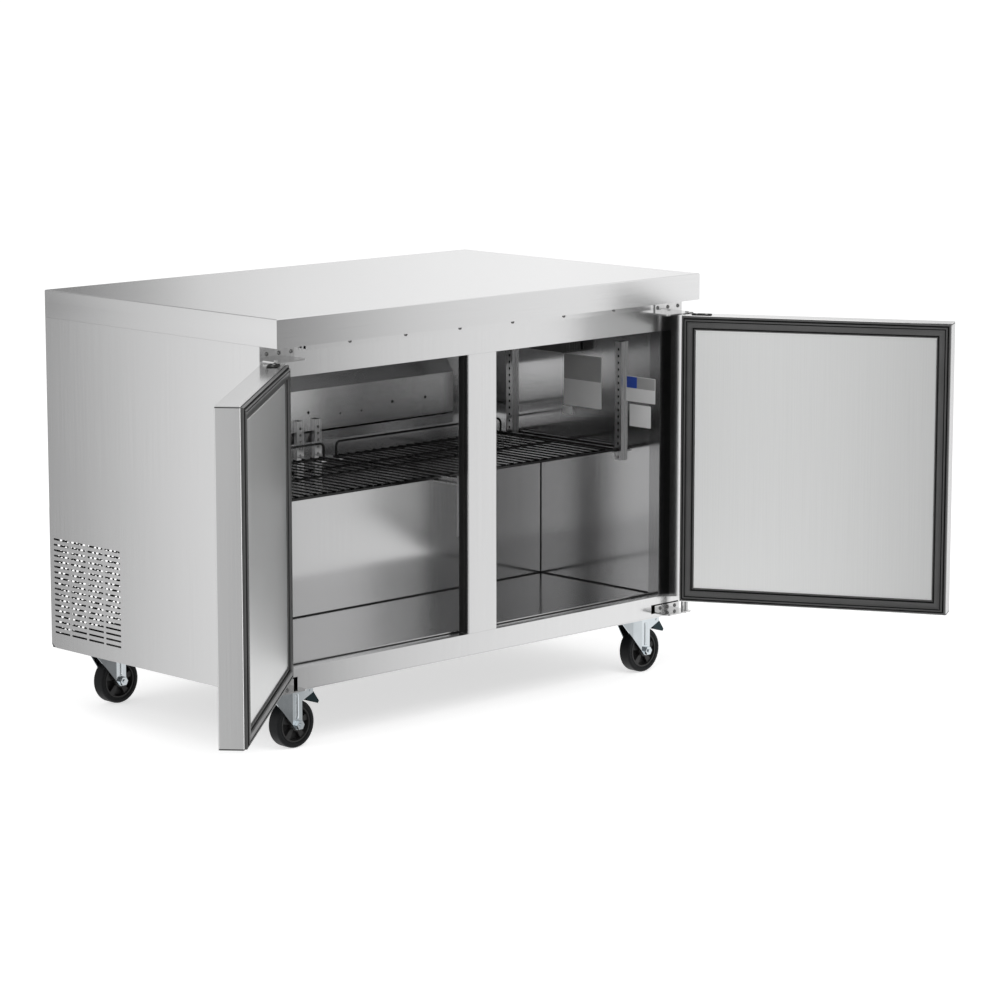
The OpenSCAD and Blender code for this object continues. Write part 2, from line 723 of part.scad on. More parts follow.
// ---------------------------------------------------------------- hinges
// Angle bracket: plate on the frame, arm towards -Y, and the pin it carries
module hinge_bracket(w, arm_z, plate_z0, h, y_plate, pin_z0, pin_z1, pitch) {
    x1 = xs - bracket_out;
    x0 = x1 - w;
    r = 6;
    difference() {
        union() {
            box([x0, y_plate - bracket_t, plate_z0], [x1, y_plate, plate_z0 + h]);
            translate([0, 0, arm_z]) linear_extrude(bracket_t) {
                translate([x0, yf - bracket_arm + r]) square([w, bracket_arm - r + y_plate - yf]);
                translate([x0 + r, yf - bracket_arm]) square([w - 2 * r, r + 1]);
                for (x = [x0 + r, x1 - r]) translate([x, yf - bracket_arm + r]) circle(r);
            }
        }
        for (i = [0 : 2]) translate([x1 - screw_edge - i * pitch, y_plate - bracket_t - 1,
                                     plate_z0 + h / 2 + (h > 20 ? 1 : 1.5)])
            rotate([-90, 0, 0]) cylinder(h = bracket_t + 2, r = screw_r, $fn = 20);
    }
    translate([pin.x, pin.y, pin_z0]) cylinder(h = pin_z1 - pin_z0, r = pin_r);
}
module hinge_brackets() {
    color("silver") both() {
        hinge_bracket(bracket_w, top_arm_z, top_arm_z, bracket_h, yf,
                      door_z1 - 18, top_arm_z + bracket_t + 2, screw_pitch);
        hinge_bracket(low_bracket_w, low_arm_z, low_arm_z, low_bracket_h, yf + skin_t + 1,
                      low_arm_z - 3, door_z0 + 18, low_screw_pitch);
        // collar on the lower pin that carries the door
        translate([pin.x, pin.y, low_arm_z + bracket_t]) difference() {
            cylinder(h = door_z0 - low_arm_z - bracket_t - 0.3, r = 8);
            translate([0, 0, -1]) cylinder(h = 40, r = pin_r - 1);
        }
    }
}

// Screws of the four brackets and of the drip strip
module front_screws() {
    x1 = xs - bracket_out - screw_edge;
    color("gray") {
        both() for (i = [0 : 2]) {
            translate([x1 - i * screw_pitch, yf - bracket_t, top_arm_z + bracket_h / 2 + 1])
                screw(bracket_t - 0.1);
            translate([x1 - i * low_screw_pitch, yf + skin_t + 1 - bracket_t,
                       low_arm_z + low_bracket_h / 2 + 1.5]) screw(bracket_t - 0.1);
        }
        for (i = [-2.5 : 2.5])
            translate([i * drip_screw_pitch, yf - drip_d, z1 - fit - drip_h + 9]) screw(drip_wall - 0.1);
    }
}

// ---------------------------------------------------------------- doors
// The door as it hangs closed on the right. Hinge edge at door_x1, inner face at door_yi.
pull_x0 = door_x0 + 40;                  // free end of the pull
pull_wall = 1.6;
pull_lip = 16;                           // height of the lip that the fingers hook behind
lip_t = 3;

// Outline of the pull in (X, Z) below the door's top, grown by d, with its lower corners rounded
module pull_outline(d) {
    r = 6 + d;
    round_rect([pull_x0 - d, -pull_h - d], [pull_x0 + pull_l + d, -pull_lip], r);
    translate([pull_x0 - d, -pull_lip - r]) square([pull_l + 2 * d, pull_lip + r - cap_plate]);
}

// Folded shell: front, two edges and their lips; the front is cut for the pull
module door_shell() {
    t = door_skin;
    za = door_z0 + cap_plate + cap_gap;
    zb = door_z1 - cap_plate - cap_gap;
    r = 2.5;
    color("gainsboro") difference() {
        translate([0, 0, za]) linear_extrude(zb - za) difference() {
            round_rect([door_x0, door_yo], [door_x1, door_yi], r);
            round_rect([door_x0 + t, door_yo + t], [door_x1 - t, door_yi - t], r - t);
            translate([door_x0 + lip_w, door_yi - 2 * t]) square([door_w - 2 * lip_w, 4 * t]);
        }
        translate([0, 0, door_z1]) along_y(door_yo - eps, door_yo + t + eps) pull_outline(fit);
    }
}

// Inner panel between the shell's lips, with a shallow raised field
module door_panel() {
    x0 = door_x0 + lip_w + fit;
    x1 = door_x1 - lip_w - fit;
    za = door_z0 + cap_plate + cap_gap + fit;
    zb = door_z1 - cap_plate - cap_gap - fit;
    m = gasket_in + gasket_w + 1 - lip_w;
    color("whitesmoke") {
        box([x0, door_yi - door_skin, za], [x1, door_yi, zb]);
        along_y(door_yi - 0.1, door_yi + 1.2) round_rect([x0 + m, za + m + lip_w], [x1 - m, zb - m - lip_w], 3);
    }
}

// Section of the gasket, drawn across its width from the outer edge: base, outer lip, bellows with
// the magnet, inner lip
module gasket_section() {
    t = gasket_t;
    w = gasket_w;
    translate([0, 0.2]) square([w, 1.8]);
    translate([0.8, 0.2]) square([2.4, t * 0.55]);
    translate([2, 0.2 + t * 0.55]) circle(1.2, $fn = 20);
    translate([6, 0.2]) square([w - 12, t - 2.7]);
    translate([8.5, 0.2]) square([w - 17, t - 0.2]);
    for (x = [8.5, w - 8.5]) translate([x, t - 2.5]) circle(2.5, $fn = 24);
    translate([w - 3.2, 0.2]) square([1.6, t * 0.4]);
}

// One arm of a gasket corner: l long along +X with its outer edge on z = 0, mitred at x = 0
module gasket_arm(l) {
    intersection() {
        along_x(0, l) mirror([1, -1]) gasket_section();
        along_y(-1, gasket_t + 1) polygon([[0, 0], [l, 0], [l, l]]);
    }
}

// Two arms that meet in a mitred corner, lx along X and lz along Z
module gasket_corner(lx, lz) {
    gasket_arm(lx);
    multmatrix([[0, 0, 1, 0], [0, 1, 0, 0], [1, 0, 0, 0], [0, 0, 0, 1]]) gasket_arm(lz);
}
module door_gasket() {
    c = [(door_x0 + door_x1) / 2, (door_z0 + door_z1) / 2];
    h = [door_w, door_z1 - door_z0] / 2 - [gasket_in, gasket_in];
    color("dimgray") translate([c.x, door_yi, c.y])
        for (mx = [0, 1], mz = [0, 1]) mirror([mx, 0, 0]) mirror([0, 0, mz])
            translate([-h.x, 0, -h.y]) gasket_corner(h.x + 1, h.y + 1);
}

// Plan of what fits inside the shell, drawn d smaller all round
module door_inside(d) {
    g = door_skin + fit + d;
    round_rect([door_x0 + g, door_yo + g], [door_x1 - g, door_yi - g], 1.8);
}

// Cap at z = 0 with the door below it: plate, flange inside the shell and bush for the hinge pin
module door_cap() {
    zb = -cap_gap - cap_plug;
    difference() {
        union() {
            translate([0, 0, -cap_plate]) linear_extrude(cap_plate)
                round_rect([door_x0, door_yo], [door_x1, door_yi], 2.5);
            translate([0, 0, zb]) linear_extrude(-zb - cap_plate) difference() {
                door_inside(0);
                door_inside(cap_wall);
            }
            translate([pin.x, pin.y, zb]) cylinder(h = -zb - cap_plate, r = pin_r + bush_wall);
            children();
        }
        translate([pin.x, pin.y, zb - 1]) cylinder(h = 12 - zb, r = pin_r + run_gap);
    }
}

// Recessed pull: a cup open to the front, with a lip along its top to hook the fingers behind
module door_pull() {
    w = pull_wall;
    difference() {
        along_y(door_yo, door_yo + pull_d) pull_outline(0);
        along_y(door_yo + lip_t, door_yo + pull_d - w) intersection() {
            pull_outline(-w);
            translate([pull_x0, -2 * pull_h]) square([pull_l, 2 * pull_h - cap_plate - w]);
        }
        along_y(door_yo - eps, door_yo + lip_t + eps) intersection() {
            pull_outline(-w);
            translate([pull_x0, -2 * pull_h]) square([pull_l, 2 * pull_h - pull_lip]);
        }
    }
}

// Plate of the hinge on the upper cap, with its two screws
module cap_hinge_plate() {
    x0 = pin.x - hinge_plate_l;
    linear_extrude(1.6) round_rect([x0, pin.y - 11], [door_x1 - 1, pin.y + 11], 6);
    for (k = [0.2, 0.6]) translate([x0 + k * hinge_plate_l, pin.y, 1.5])
        cylinder(h = 0.5, r = head_r - 1, $fn = 24);
}

// Both caps: the upper one carries the hinge plate and the pull
module door_caps() {
    color("silver") {
        translate([0, 0, door_z1]) {
            door_cap() cap_hinge_plate();
            door_pull();
        }
        translate([0, 0, door_z0]) mirror([0, 0, 1]) door_cap();
    }
}

// Foam inside the door, cut round the pull and the pins
module door_core() {
    za = door_z0 + cap_gap + cap_plug + fit;
    zb = door_z1 - cap_gap - cap_plug - fit;
    color("khaki") difference() {
        translate([0, 0, za]) linear_extrude(zb - za) door_inside(0);
        translate([0, 0, door_z1]) along_y(door_yo, door_yo + pull_d + fit) pull_outline(fit);
        for (z = [za - 1, zb - 8]) translate([pin.x, pin.y, z]) cylinder(h = 9, r = pin_r + 1);
    }
}
module right_door_shell() { right_door() door_shell(); }
module right_door_panel() { right_door() door_panel(); }
module right_door_gasket() { right_door() door_gasket(); }
module right_door_caps() { right_door() door_caps(); }
module right_door_core() { right_door() door_core(); }
module left_door_shell() { left_door() door_shell(); }
module left_door_panel() { left_door() door_panel(); }
module left_door_gasket() { left_door() door_gasket(); }
module left_door_caps() { left_door() door_caps(); }
module left_door_core() { left_door() door_core(); }

// ---------------------------------------------------------------- casters
// Top plate with the ball race, the kingpin and four bolts
module caster_plate() {
    zt = caster_h - fit;
    translate([0, 0, zt - plate_t]) linear_extrude(plate_t) difference() {
        round_rect(-plate_half, plate_half, 6);
        for (x = [-1, 1], y = [-1, 1]) translate([x * plate_bolt.x, y * plate_bolt.y])
            circle(bolt_hole, $fn = 24);
    }
    translate([0, 0, fork_top + 0.4]) rotate_extrude()
        polygon([[0, 0], [race_r - 3, 0], [race_r, 2], [race_r, race_h], [0, race_h]]);
    translate([0, 0, fork_top - disc_t - 3.3]) {
        cylinder(h = disc_t + 3.9, r = king_r);
        cylinder(h = 3, r = 10);
    }
    for (x = [-1, 1], y = [-1, 1])
        translate([x * plate_bolt.x, y * plate_bolt.y, zt - plate_t]) {
            translate([0, 0, -1]) cylinder(h = 1 + plate_t + base_t, r = bolt_hole - 0.2, $fn = 24);
            translate([0, 0, -5.2]) cylinder(h = 5.1, r = 6.8, $fn = 6);
        }
}
module caster_plates() {
    color("lightsteelblue") for (sx = [-1, 1], rear = [false, true]) caster_at(sx, rear) caster_plate();
}

// Side outline of a leg in (X, Z): wide under the race, tapering to a round end at the axle.
// The ear carries a brake.
module leg_outline(ear) {
    c = [trail, axle_z];
    lead = [-40, fork_top];
    d = c - lead;
    slope = atan2(d.y, d.x) - asin(leg_end_r / norm(d));
    from = slope + 270;
    xr = trail + leg_end_r;
    round_end = [for (k = [0 : 10]) let (a = from + (360 - from) * k / 10)
        c + leg_end_r * [cos(a), sin(a)]];
    polygon(concat([lead], round_end,
        ear ? [[xr, fork_top - 24], [68, fork_top - 10], [68, fork_top]]
            : [[xr, fork_top - 6], [xr - 4, fork_top]]));
}

// Plan outline of one leg, whose leading edge turns in towards the middle
module leg_plan(tail) {
    y1 = leg_y + leg_t;
    polygon([[tail, leg_y], [13, leg_y], [-10, leg_y - 4.3], [-40, 7],
             [-40, 7 + leg_t], [-10, y1 - 4.3], [13, y1], [tail, y1]]);
}
module fork(ear) {
    tail = ear ? 68 : trail + leg_end_r;
    difference() {
        union() {
            intersection() {
                linear_extrude(fork_top) {
                    leg_plan(tail);
                    mirror([0, 1]) leg_plan(tail);
                }
                along_y(-40, 40) leg_outline(ear);
            }
            translate([0, 0, fork_top - disc_t]) linear_extrude(disc_t) intersection() {
                translate([-40, -leg_y - 0.5]) square([trail + leg_end_r + 36, 2 * leg_y + 1]);
                union() {
                    circle(33);
                    translate([0, -leg_y]) square([trail + leg_end_r - 4, 2 * leg_y]);
                }
            }
        }
        cylinder(h = caster_h, r = king_r + run_gap);
    }
    // axle bolt with its head and nut
    translate([trail, 0, axle_z]) rotate([90, 0, 0]) {
        cylinder(h = 2 * (leg_y + leg_t + 11), r = axle_r, center = true);
        for (s = [-1, 1]) translate([0, 0, s * (leg_y + leg_t + 4.1)])
            cylinder(h = 8, r = nut_r, center = true, $fn = 6);
    }
    // pivot of the brake pedal, riveted in the ears
    if (ear) translate([pedal_x, 0, pedal_z]) rotate([90, 0, 0])
        cylinder(h = 2 * (leg_y + leg_t + 1), r = pedal_pin, center = true, $fn = 24);
}
module fork_front_left() { color("lightsteelblue") caster_at(-1, false) fork(true); }
module fork_front_right() { color("lightsteelblue") caster_at(1, false) fork(true); }
module fork_rear_left() { color("lightsteelblue") caster_at(-1, true) fork(false); }
module fork_rear_right() { color("lightsteelblue") caster_at(1, true) fork(false); }

// Wheel centre: barrel with a thread guard at each end, web, five ribs on each side and a rim
module wheel() {
    rim = wheel_r - 12.2;
    translate([trail, 0, axle_z]) rotate([90, 0, 0]) difference() {
        union() {
            rotate_extrude() polygon([
                [axle_r + run_gap, -hub_w / 2], [guard_r, -hub_w / 2], [guard_r, -hub_w / 2 + 1.5],
                [11, -hub_w / 2 + 1.5], [13, -wheel_w / 2 + 2], [13, -2],
                [rim - 4, -2], [rim - 3, -wheel_w / 2 + 1], [rim, -wheel_w / 2 + 1],
                [rim, wheel_w / 2 - 1], [rim - 3, wheel_w / 2 - 1], [rim - 4, 2],
                [13, 2], [13, wheel_w / 2 - 2], [11, hub_w / 2 - 1.5], [guard_r, hub_w / 2 - 1.5],
                [guard_r, hub_w / 2], [axle_r + run_gap, hub_w / 2]]);
            for (i = [0 : 4]) rotate([0, 0, i * 72 + 90]) linear_extrude(wheel_w - 8, center = true)
                polygon([[11, -3.5], [rim - 2, -7], [rim - 2, 7], [11, 3.5]]);
        }
    }
}

// Tyre with rounded shoulders and a shallow groove inside each sidewall
module tyre() {
    ri = wheel_r - 12;
    ro = wheel_r - 0.4;
    w = wheel_w / 2;
    c = 4;
    translate([trail, 0, axle_z]) rotate([90, 0, 0]) rotate_extrude($fn = 96) difference() {
        union() {
            translate([ri, -w + 1]) square([ro - ri - c, 2 * w - 2]);
            translate([ri + 1, -w]) square([ro - ri - c - 1, 2 * w]);
            translate([ro - c - 0.1, -w + c]) square([c + 0.1, 2 * w - 2 * c]);
            for (s = [-1, 1]) translate([ro - c, s * (w - c)]) circle(c, $fn = 32);
        }
        for (s = [-1, 1]) translate([ri + 2.5, s * (w + 0.3)]) circle(1, $fn = 16);
    }
}
module wheel_front_left() { color("black") caster_at(-1, false) wheel(); }
module wheel_front_right() { color("black") caster_at(1, false) wheel(); }
module wheel_rear_left() { color("black") caster_at(-1, true) wheel(); }
module wheel_rear_right() { color("black") caster_at(1, true) wheel(); }
module tyre_front_left() { color("dimgray") caster_at(-1, false) tyre(); }
module tyre_front_right() { color("dimgray") caster_at(1, false) tyre(); }
module tyre_rear_left() { color("dimgray") caster_at(-1, true) tyre(); }
module tyre_rear_right() { color("dimgray") caster_at(1, true) tyre(); }

// Foot lever between the ears, hollow underneath
module brake_pedal() {
    w = leg_y - 1;
    z = fork_top;
    difference() {
        along_y(-w, w) polygon([[44, z - 13], [52, z - 6], [60, z - 1], [68, z - 4], [87, z - 31],
                                [84, z - 36], [57, z - 27]]);
        along_y(-w + 2.5, w - 2.5) polygon([[67, z - 14], [83, z - 32], [84, z - 44], [60, z - 44]]);
        translate([pedal_x, 0, pedal_z]) rotate([90, 0, 0])
            cylinder(h = 60, r = pedal_pin + run_gap, center = true, $fn = 24);
    }
}
module brake_pedal_left() { color("black") caster_at(-1, false) brake_pedal(); }
module brake_pedal_right() { color("black") caster_at(1, false) brake_pedal(); }

// ---------------------------------------------------------------- machine compartment
// Hermetic pot on a foot plate, with its terminal box and tube stubs
module compressor() {
    zb = z0 + base_t + 0.2;
    r = comp_r;
    color("black") translate([comp_x, comp_y, zb]) {
        linear_extrude(3) round_rect([-95, -62], [95, 62], 12);
        for (x = [-82, 82], y = [-48, 48]) translate([x, y, 3]) cylinder(h = 12, r = 9, $fn = 24);
        translate([0, 0, 3]) rotate_extrude($fn = 64) difference() {
            union() {
                translate([0, 12]) square([r, comp_h - 52]);
                translate([0, comp_h - 40]) intersection() {
                    square([r, 40]);
                    translate([0, 40 - (r * r + 1600) / 80]) circle((r * r + 1600) / 80);
                }
                square([r - 20, 13]);
                translate([r - 1, comp_h * 0.45]) square([4, 5]);
            }
            translate([-2 * r, -r]) square([2 * r, 4 * r]);
        }
        translate([r - 6, -24, 50]) cube([30, 48, 60]);
        translate([-r - 14, 0, 60]) rotate([0, 90, 0]) cylinder(h = 22, r = 5, $fn = 20);
        translate([-r - 10, 22, 95]) rotate([0, 90, 0]) cylinder(h = 34, r = 4, $fn = 20);
    }
}

// Finned block in a sheet frame, with the fan's shroud and the bar that holds its motor
module condenser() {
    zb = z0 + base_t + 0.2;
    w = 2 * cond_fan_r + 24;
    y0 = cond_y - w / 2;
    n = floor(w / 9);
    color("silver") {
        translate([cond_x + 30, cond_y - n * 4.5, zb + 1.5 + fit]) rotate([0, 0, 90])
            finned_block(n * 9, 60, w + 9 - 2 * fit, 9);
        // frame
        difference() {
            box([cond_x - 32, y0 - 3, zb], [cond_x + 32, y0 + w + 3, zb + w + 12]);
            box([cond_x - 40, y0 - 1.5, zb + 1.5], [cond_x + 40, y0 + w + 1.5, zb + w + 10.5]);
        }
        // shroud with its round mouth
        difference() {
            box([cond_x - 60, y0 - 3, zb], [cond_x - 32.2, y0 + w + 3, zb + w + 12]);
            box([cond_x - 58, y0 - 1.5, zb + 1.5], [cond_x - 30, y0 + w + 1.5, zb + w + 10.5]);
            translate([cond_x - 70, cond_y, cond_z]) rotate([0, 90, 0])
                cylinder(h = 30, r = cond_fan_r + 5, $fn = 96);
        }
        // motor on its bar
        translate([cond_fan_x - 42, cond_y, cond_z]) rotate([0, 90, 0]) cylinder(h = 34, r = 30);
        translate([cond_fan_x - 9, cond_y, cond_z]) rotate([0, 90, 0]) cylinder(h = 24, r = 4);
        box([cond_fan_x - 40, cond_y - 14, zb], [cond_fan_x - 37, cond_y + 14, cond_z - 24]);
        box([cond_fan_x - 40, cond_y - 14, zb], [cond_x - 60.2, cond_y + 14, zb + 3]);
    }
}
module condenser_fan() {
    color("black") translate([cond_fan_x - 6, cond_y, cond_z]) rotate([0, 90, 0])
        fan(cond_fan_r, 26, 5, 20, 4 + run_gap);
}

// Tray over the compressor's hot line that dries the drain water
module drain_tray() {
    zb = z0 + base_t + 0.2;
    color("gainsboro") translate([-250, y_mach + 40, zb]) difference() {
        linear_extrude(60) round_rect([0, 0], [180, 170], 12);
        translate([0, 0, 2]) linear_extrude(60) round_rect([2, 2], [178, 168], 10);
    }
}

// Housing of the thermostat and the relay, on the base beside the compressor
module control_box() {
    zb = z0 + base_t + 0.2;
    color("gray") translate([-420, y_mach + 60, zb]) {
        linear_extrude(90) round_rect([0, 0], [110, 120], 6);
        translate([55, 60, 90]) cylinder(h = 8, r = 9, $fn = 32);
    }
}

worktop();
side_panel_left();
side_panel_right();
back_panel();
rear_vent_cover();
base_pan();
top_rail();
bottom_rail();
mullion();
front_stiles();
drip_strip();
liner_floor();
liner_sides();
liner_back();
liner_ceiling();
insulation();
evaporator_cover();
evaporator_coil();
drain_pan();
thermostat();
fan_guards();
evaporator_fan_left();
evaporator_fan_right();
pilasters();
shelf_clips();
shelf_left();
shelf_right();
shelf_guards();
hinge_brackets();
front_screws();
compressor();
condenser();
condenser_fan();
drain_tray();
control_box();
caster_plates();
fork_front_left();
fork_front_right();
fork_rear_left();
fork_rear_right();
wheel_front_left();
wheel_front_right();
wheel_rear_left();
wheel_rear_right();
tyre_front_left();
tyre_front_right();
tyre_rear_left();
tyre_rear_right();
brake_pedal_left();
brake_pedal_right();
left_door_shell();
left_door_panel();
left_door_gasket();
left_door_caps();
left_door_core();
right_door_shell();
right_door_panel();
right_door_gasket();
right_door_caps();
right_door_core();
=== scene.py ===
"""Looks of a two-door under counter refrigerator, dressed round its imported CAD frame.

Pieces that ride on the part are given in millimetres, the camera and the stage in metres.
"""
import json
import math
from bisect import bisect_left

import bmesh
import bpy
from mathutils import Euler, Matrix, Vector


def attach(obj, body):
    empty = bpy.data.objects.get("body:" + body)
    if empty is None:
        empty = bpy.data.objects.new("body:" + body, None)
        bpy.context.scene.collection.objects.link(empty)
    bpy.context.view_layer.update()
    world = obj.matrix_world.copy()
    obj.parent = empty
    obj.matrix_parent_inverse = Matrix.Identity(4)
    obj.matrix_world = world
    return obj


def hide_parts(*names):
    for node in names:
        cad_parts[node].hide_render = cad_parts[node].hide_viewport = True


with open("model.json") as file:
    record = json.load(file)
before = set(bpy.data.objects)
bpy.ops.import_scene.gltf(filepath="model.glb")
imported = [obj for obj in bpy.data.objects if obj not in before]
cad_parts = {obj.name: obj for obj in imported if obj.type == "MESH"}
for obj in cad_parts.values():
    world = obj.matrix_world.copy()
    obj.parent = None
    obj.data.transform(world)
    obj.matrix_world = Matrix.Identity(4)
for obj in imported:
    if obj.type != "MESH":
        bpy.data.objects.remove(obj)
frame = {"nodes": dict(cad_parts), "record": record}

NODES = frame["nodes"]
SCENE = bpy.context.scene
MM = 0.001
SIDES = (("left", -1), ("right", 1))     # each side's name and its sign along X


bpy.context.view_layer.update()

# ------------------------------------------------------------------ camera
CAMERA_AT = (-5.167, -5.644, 1.725)
CAMERA_YAW = 44.41      # degrees from +Y towards +X
CAMERA_DOWN = 9.69      # degrees below the horizon
CAMERA_LENS = 129.36    # mm
CAMERA_SENSOR = 36      # mm
CAMERA_REACH = 200      # m


def make_camera():
    """Camera with the photograph's view of the part."""
    data = bpy.data.cameras.new("camera")
    data.lens = CAMERA_LENS
    data.sensor_width = CAMERA_SENSOR
    data.clip_end = CAMERA_REACH
    camera = bpy.data.objects.new("camera", data)
    SCENE.collection.objects.link(camera)
    camera.location = CAMERA_AT
    camera.rotation_euler = Euler(
        (math.radians(90 - CAMERA_DOWN), 0, math.radians(-CAMERA_YAW)))
    SCENE.camera = camera


# ------------------------------------------------------------------ node helpers
NOISE_LOW, NOISE_HIGH = 0.3, 0.7         # the part of a noise's range that is spread


class Shader:
    """A material whose nodes are added one by one."""

    def __init__(self, name):
        self.material = bpy.data.materials.new(name)
        self.material.use_nodes = True
        self.nodes = self.material.node_tree.nodes
        self.links = self.material.node_tree.links
        self.surface = self.nodes["Principled BSDF"]
        self.place = self.add("ShaderNodeTexCoord").outputs["Object"]

    def add(self, kind, **settings):
        """A new node with these settings."""
        node = self.nodes.new(kind)
        for key, value in settings.items():
            setattr(node, key, value)
        return node

    def join(self, source, target):
        """A link between two sockets."""
        self.links.new(source, target)

    def set(self, **values):
        """Values of the surface's own sockets, with _ for a space in a socket's name."""
        for key, value in values.items():
            self.surface.inputs[key.replace("_", " ")].default_value = value

    def noise(self, scale, detail=2.0, stretch=(1, 1, 1)):
        """Noise over the object's own place, stretched axis by axis."""
        mapping = self.add("ShaderNodeMapping")
        mapping.inputs["Scale"].default_value = stretch
        self.join(self.place, mapping.inputs["Vector"])
        noise = self.add("ShaderNodeTexNoise")
        noise.inputs["Scale"].default_value = scale
        noise.inputs["Detail"].default_value = detail
        self.join(mapping.outputs["Vector"], noise.inputs["Vector"])
        return noise.outputs["Fac"]

    def spread(self, source, low, high):
        """A noise mapped to run from low to high."""
        node = self.add("ShaderNodeMapRange")
        node.inputs["From Min"].default_value = NOISE_LOW
        node.inputs["From Max"].default_value = NOISE_HIGH
        node.inputs["To Min"].default_value = low
        node.inputs["To Max"].default_value = high
        self.join(source, node.inputs["Value"])
        return node.outputs["Result"]

    def math(self, operation, a, b):
        """A sum or product of two numbers or sockets."""
        node = self.add("ShaderNodeMath", operation=operation)
        for socket, value in zip(node.inputs, (a, b)):
            if isinstance(value, (int, float)):
                socket.default_value = value
            else:
                self.join(value, socket)
        return node.outputs["Value"]

    def colour(self, factor, dark, light):
        """The surface's colour runs from dark to light as the factor goes from 0 to 1."""
        node = self.add("ShaderNodeMix", data_type="RGBA")
        self.join(factor, node.inputs["Factor"])
        node.inputs["A"].default_value = dark
        node.inputs["B"].default_value = light
        self.join(node.outputs["Result"], self.surface.inputs["Base Color"])

    def roughness(self, noise, level, below, above):
        """The surface's roughness spreads below and above its level as the noise goes."""
        self.join(self.spread(noise, level - below, level + above),
                  self.surface.inputs["Roughness"])

    def tangent(self, axis):
        """The axis that the surface's anisotropy turns about."""
        node = self.add("ShaderNodeTangent", direction_type="RADIAL", axis=axis)
        self.join(node.outputs["Tangent"], self.surface.inputs["Tangent"])

    def bump(self, height, strength, distance):
        """Fine relief on the surface."""
        node = self.add("ShaderNodeBump")
        node.inputs["Strength"].default_value = strength
        node.inputs["Distance"].default_value = distance
        self.join(height, node.inputs["Height"])
        self.join(node.outputs["Normal"], self.surface.inputs["Normal"])


def grey(level, tint=(0, 0, 0)):
    """Opaque grey with a tint added to its red, green and blue."""
    return (level + tint[0], level + tint[1], level + tint[2], 1.0)


# ------------------------------------------------------------------ materials
ALONG_X = (4, 600, 600)                  # stretch of the noise that makes the brushed lines
ALONG_Z = (600, 600, 4)
LINES_SHARE = 0.6                        # of the steel's unevenness; its clouds have the rest
LINES_STRENGTH, LINES_RELIEF = 0.03, 0.0002
CLOUD_SCALE = 2.2
STEEL_DARK, STEEL_LIGHT = 0.96, 1.03     # range of the steel's brightness
SKIN_DARK = 0.9                          # the plated metals' darker spots
SKIN_RELIEF = 0.0003
STEEL_SPREAD = (0.02, 0.03)              # of the roughness, below and above its level
METAL_SPREAD = (0.03, 0.05)
MOULDED_SPREAD = (0.05, 0.06)
PATCH_SCALE = 14.0
CELL_SCALE = 260.0
CELL_STRENGTH, CELL_RELIEF = 0.4, 0.001
FOAM_DARK = (0.72, 0.62, 0.36, 1)
FOAM_LIGHT = (0.9, 0.82, 0.56, 1)
FOAM_ROUGHNESS = 0.9


def brushed_steel(name, level, roughness, grain, anisotropy=0.5, tint=(0, 0, 0.003)):
    """Stainless steel with fine lines along one axis and a faint cloudiness."""
    s = Shader(name)
    lines = s.noise(1.0, detail=3.0, stretch=grain)
    clouds = s.noise(CLOUD_SCALE)
    s.set(Metallic=1.0, Anisotropic=anisotropy)
    s.tangent("Z" if grain == ALONG_Z else "X")
    dark, light = grey(level * STEEL_DARK, tint), grey(min(1.0, level * STEEL_LIGHT), tint)
    both = s.math("ADD", s.math("MULTIPLY", lines, LINES_SHARE),
                  s.math("MULTIPLY", clouds, 1 - LINES_SHARE))
    s.colour(s.spread(both, 0.0, 1.0), dark, light)
    s.roughness(both, roughness, *STEEL_SPREAD)
    s.bump(lines, LINES_STRENGTH, LINES_RELIEF)
    return s.material


def plain_metal(name, level, roughness, tint=(0, 0, 0), grain=40.0, depth=0.02):
    """Plated or cast metal with a fine uneven skin."""
    s = Shader(name)
    skin = s.noise(grain, detail=4.0)
    s.set(Metallic=1.0)
    s.colour(s.spread(skin, 0.0, 1.0), grey(level * SKIN_DARK, tint), grey(level, tint))
    s.roughness(skin, roughness, *METAL_SPREAD)
    s.bump(skin, depth, SKIN_RELIEF)
    return s.material


def moulded(name, level, roughness, tint=(0, 0, 0), grain=900.0, depth=0.12, worn=1.25,
            shine=0.5):
    """Plastic or rubber: a fine moulded grain and slightly lighter handled patches."""
    s = Shader(name)
    fine = s.noise(grain)
    patches = s.noise(PATCH_SCALE, detail=3.0)
    s.set(Specular_IOR_Level=shine)
    s.colour(s.spread(patches, 0.0, 1.0), grey(level, tint), grey(level * worn, tint))
    s.roughness(fine, roughness, *MOULDED_SPREAD)
    s.bump(fine, depth, SKIN_RELIEF)
    return s.material


def foam(name):
    """Pale yellow rigid foam with open cells."""
    s = Shader(name)
    cells = s.noise(CELL_SCALE, detail=4.0)
    s.set(Roughness=FOAM_ROUGHNESS)
    s.colour(cells, FOAM_DARK, FOAM_LIGHT)
    s.bump(cells, CELL_STRENGTH, CELL_RELIEF)
    return s.material


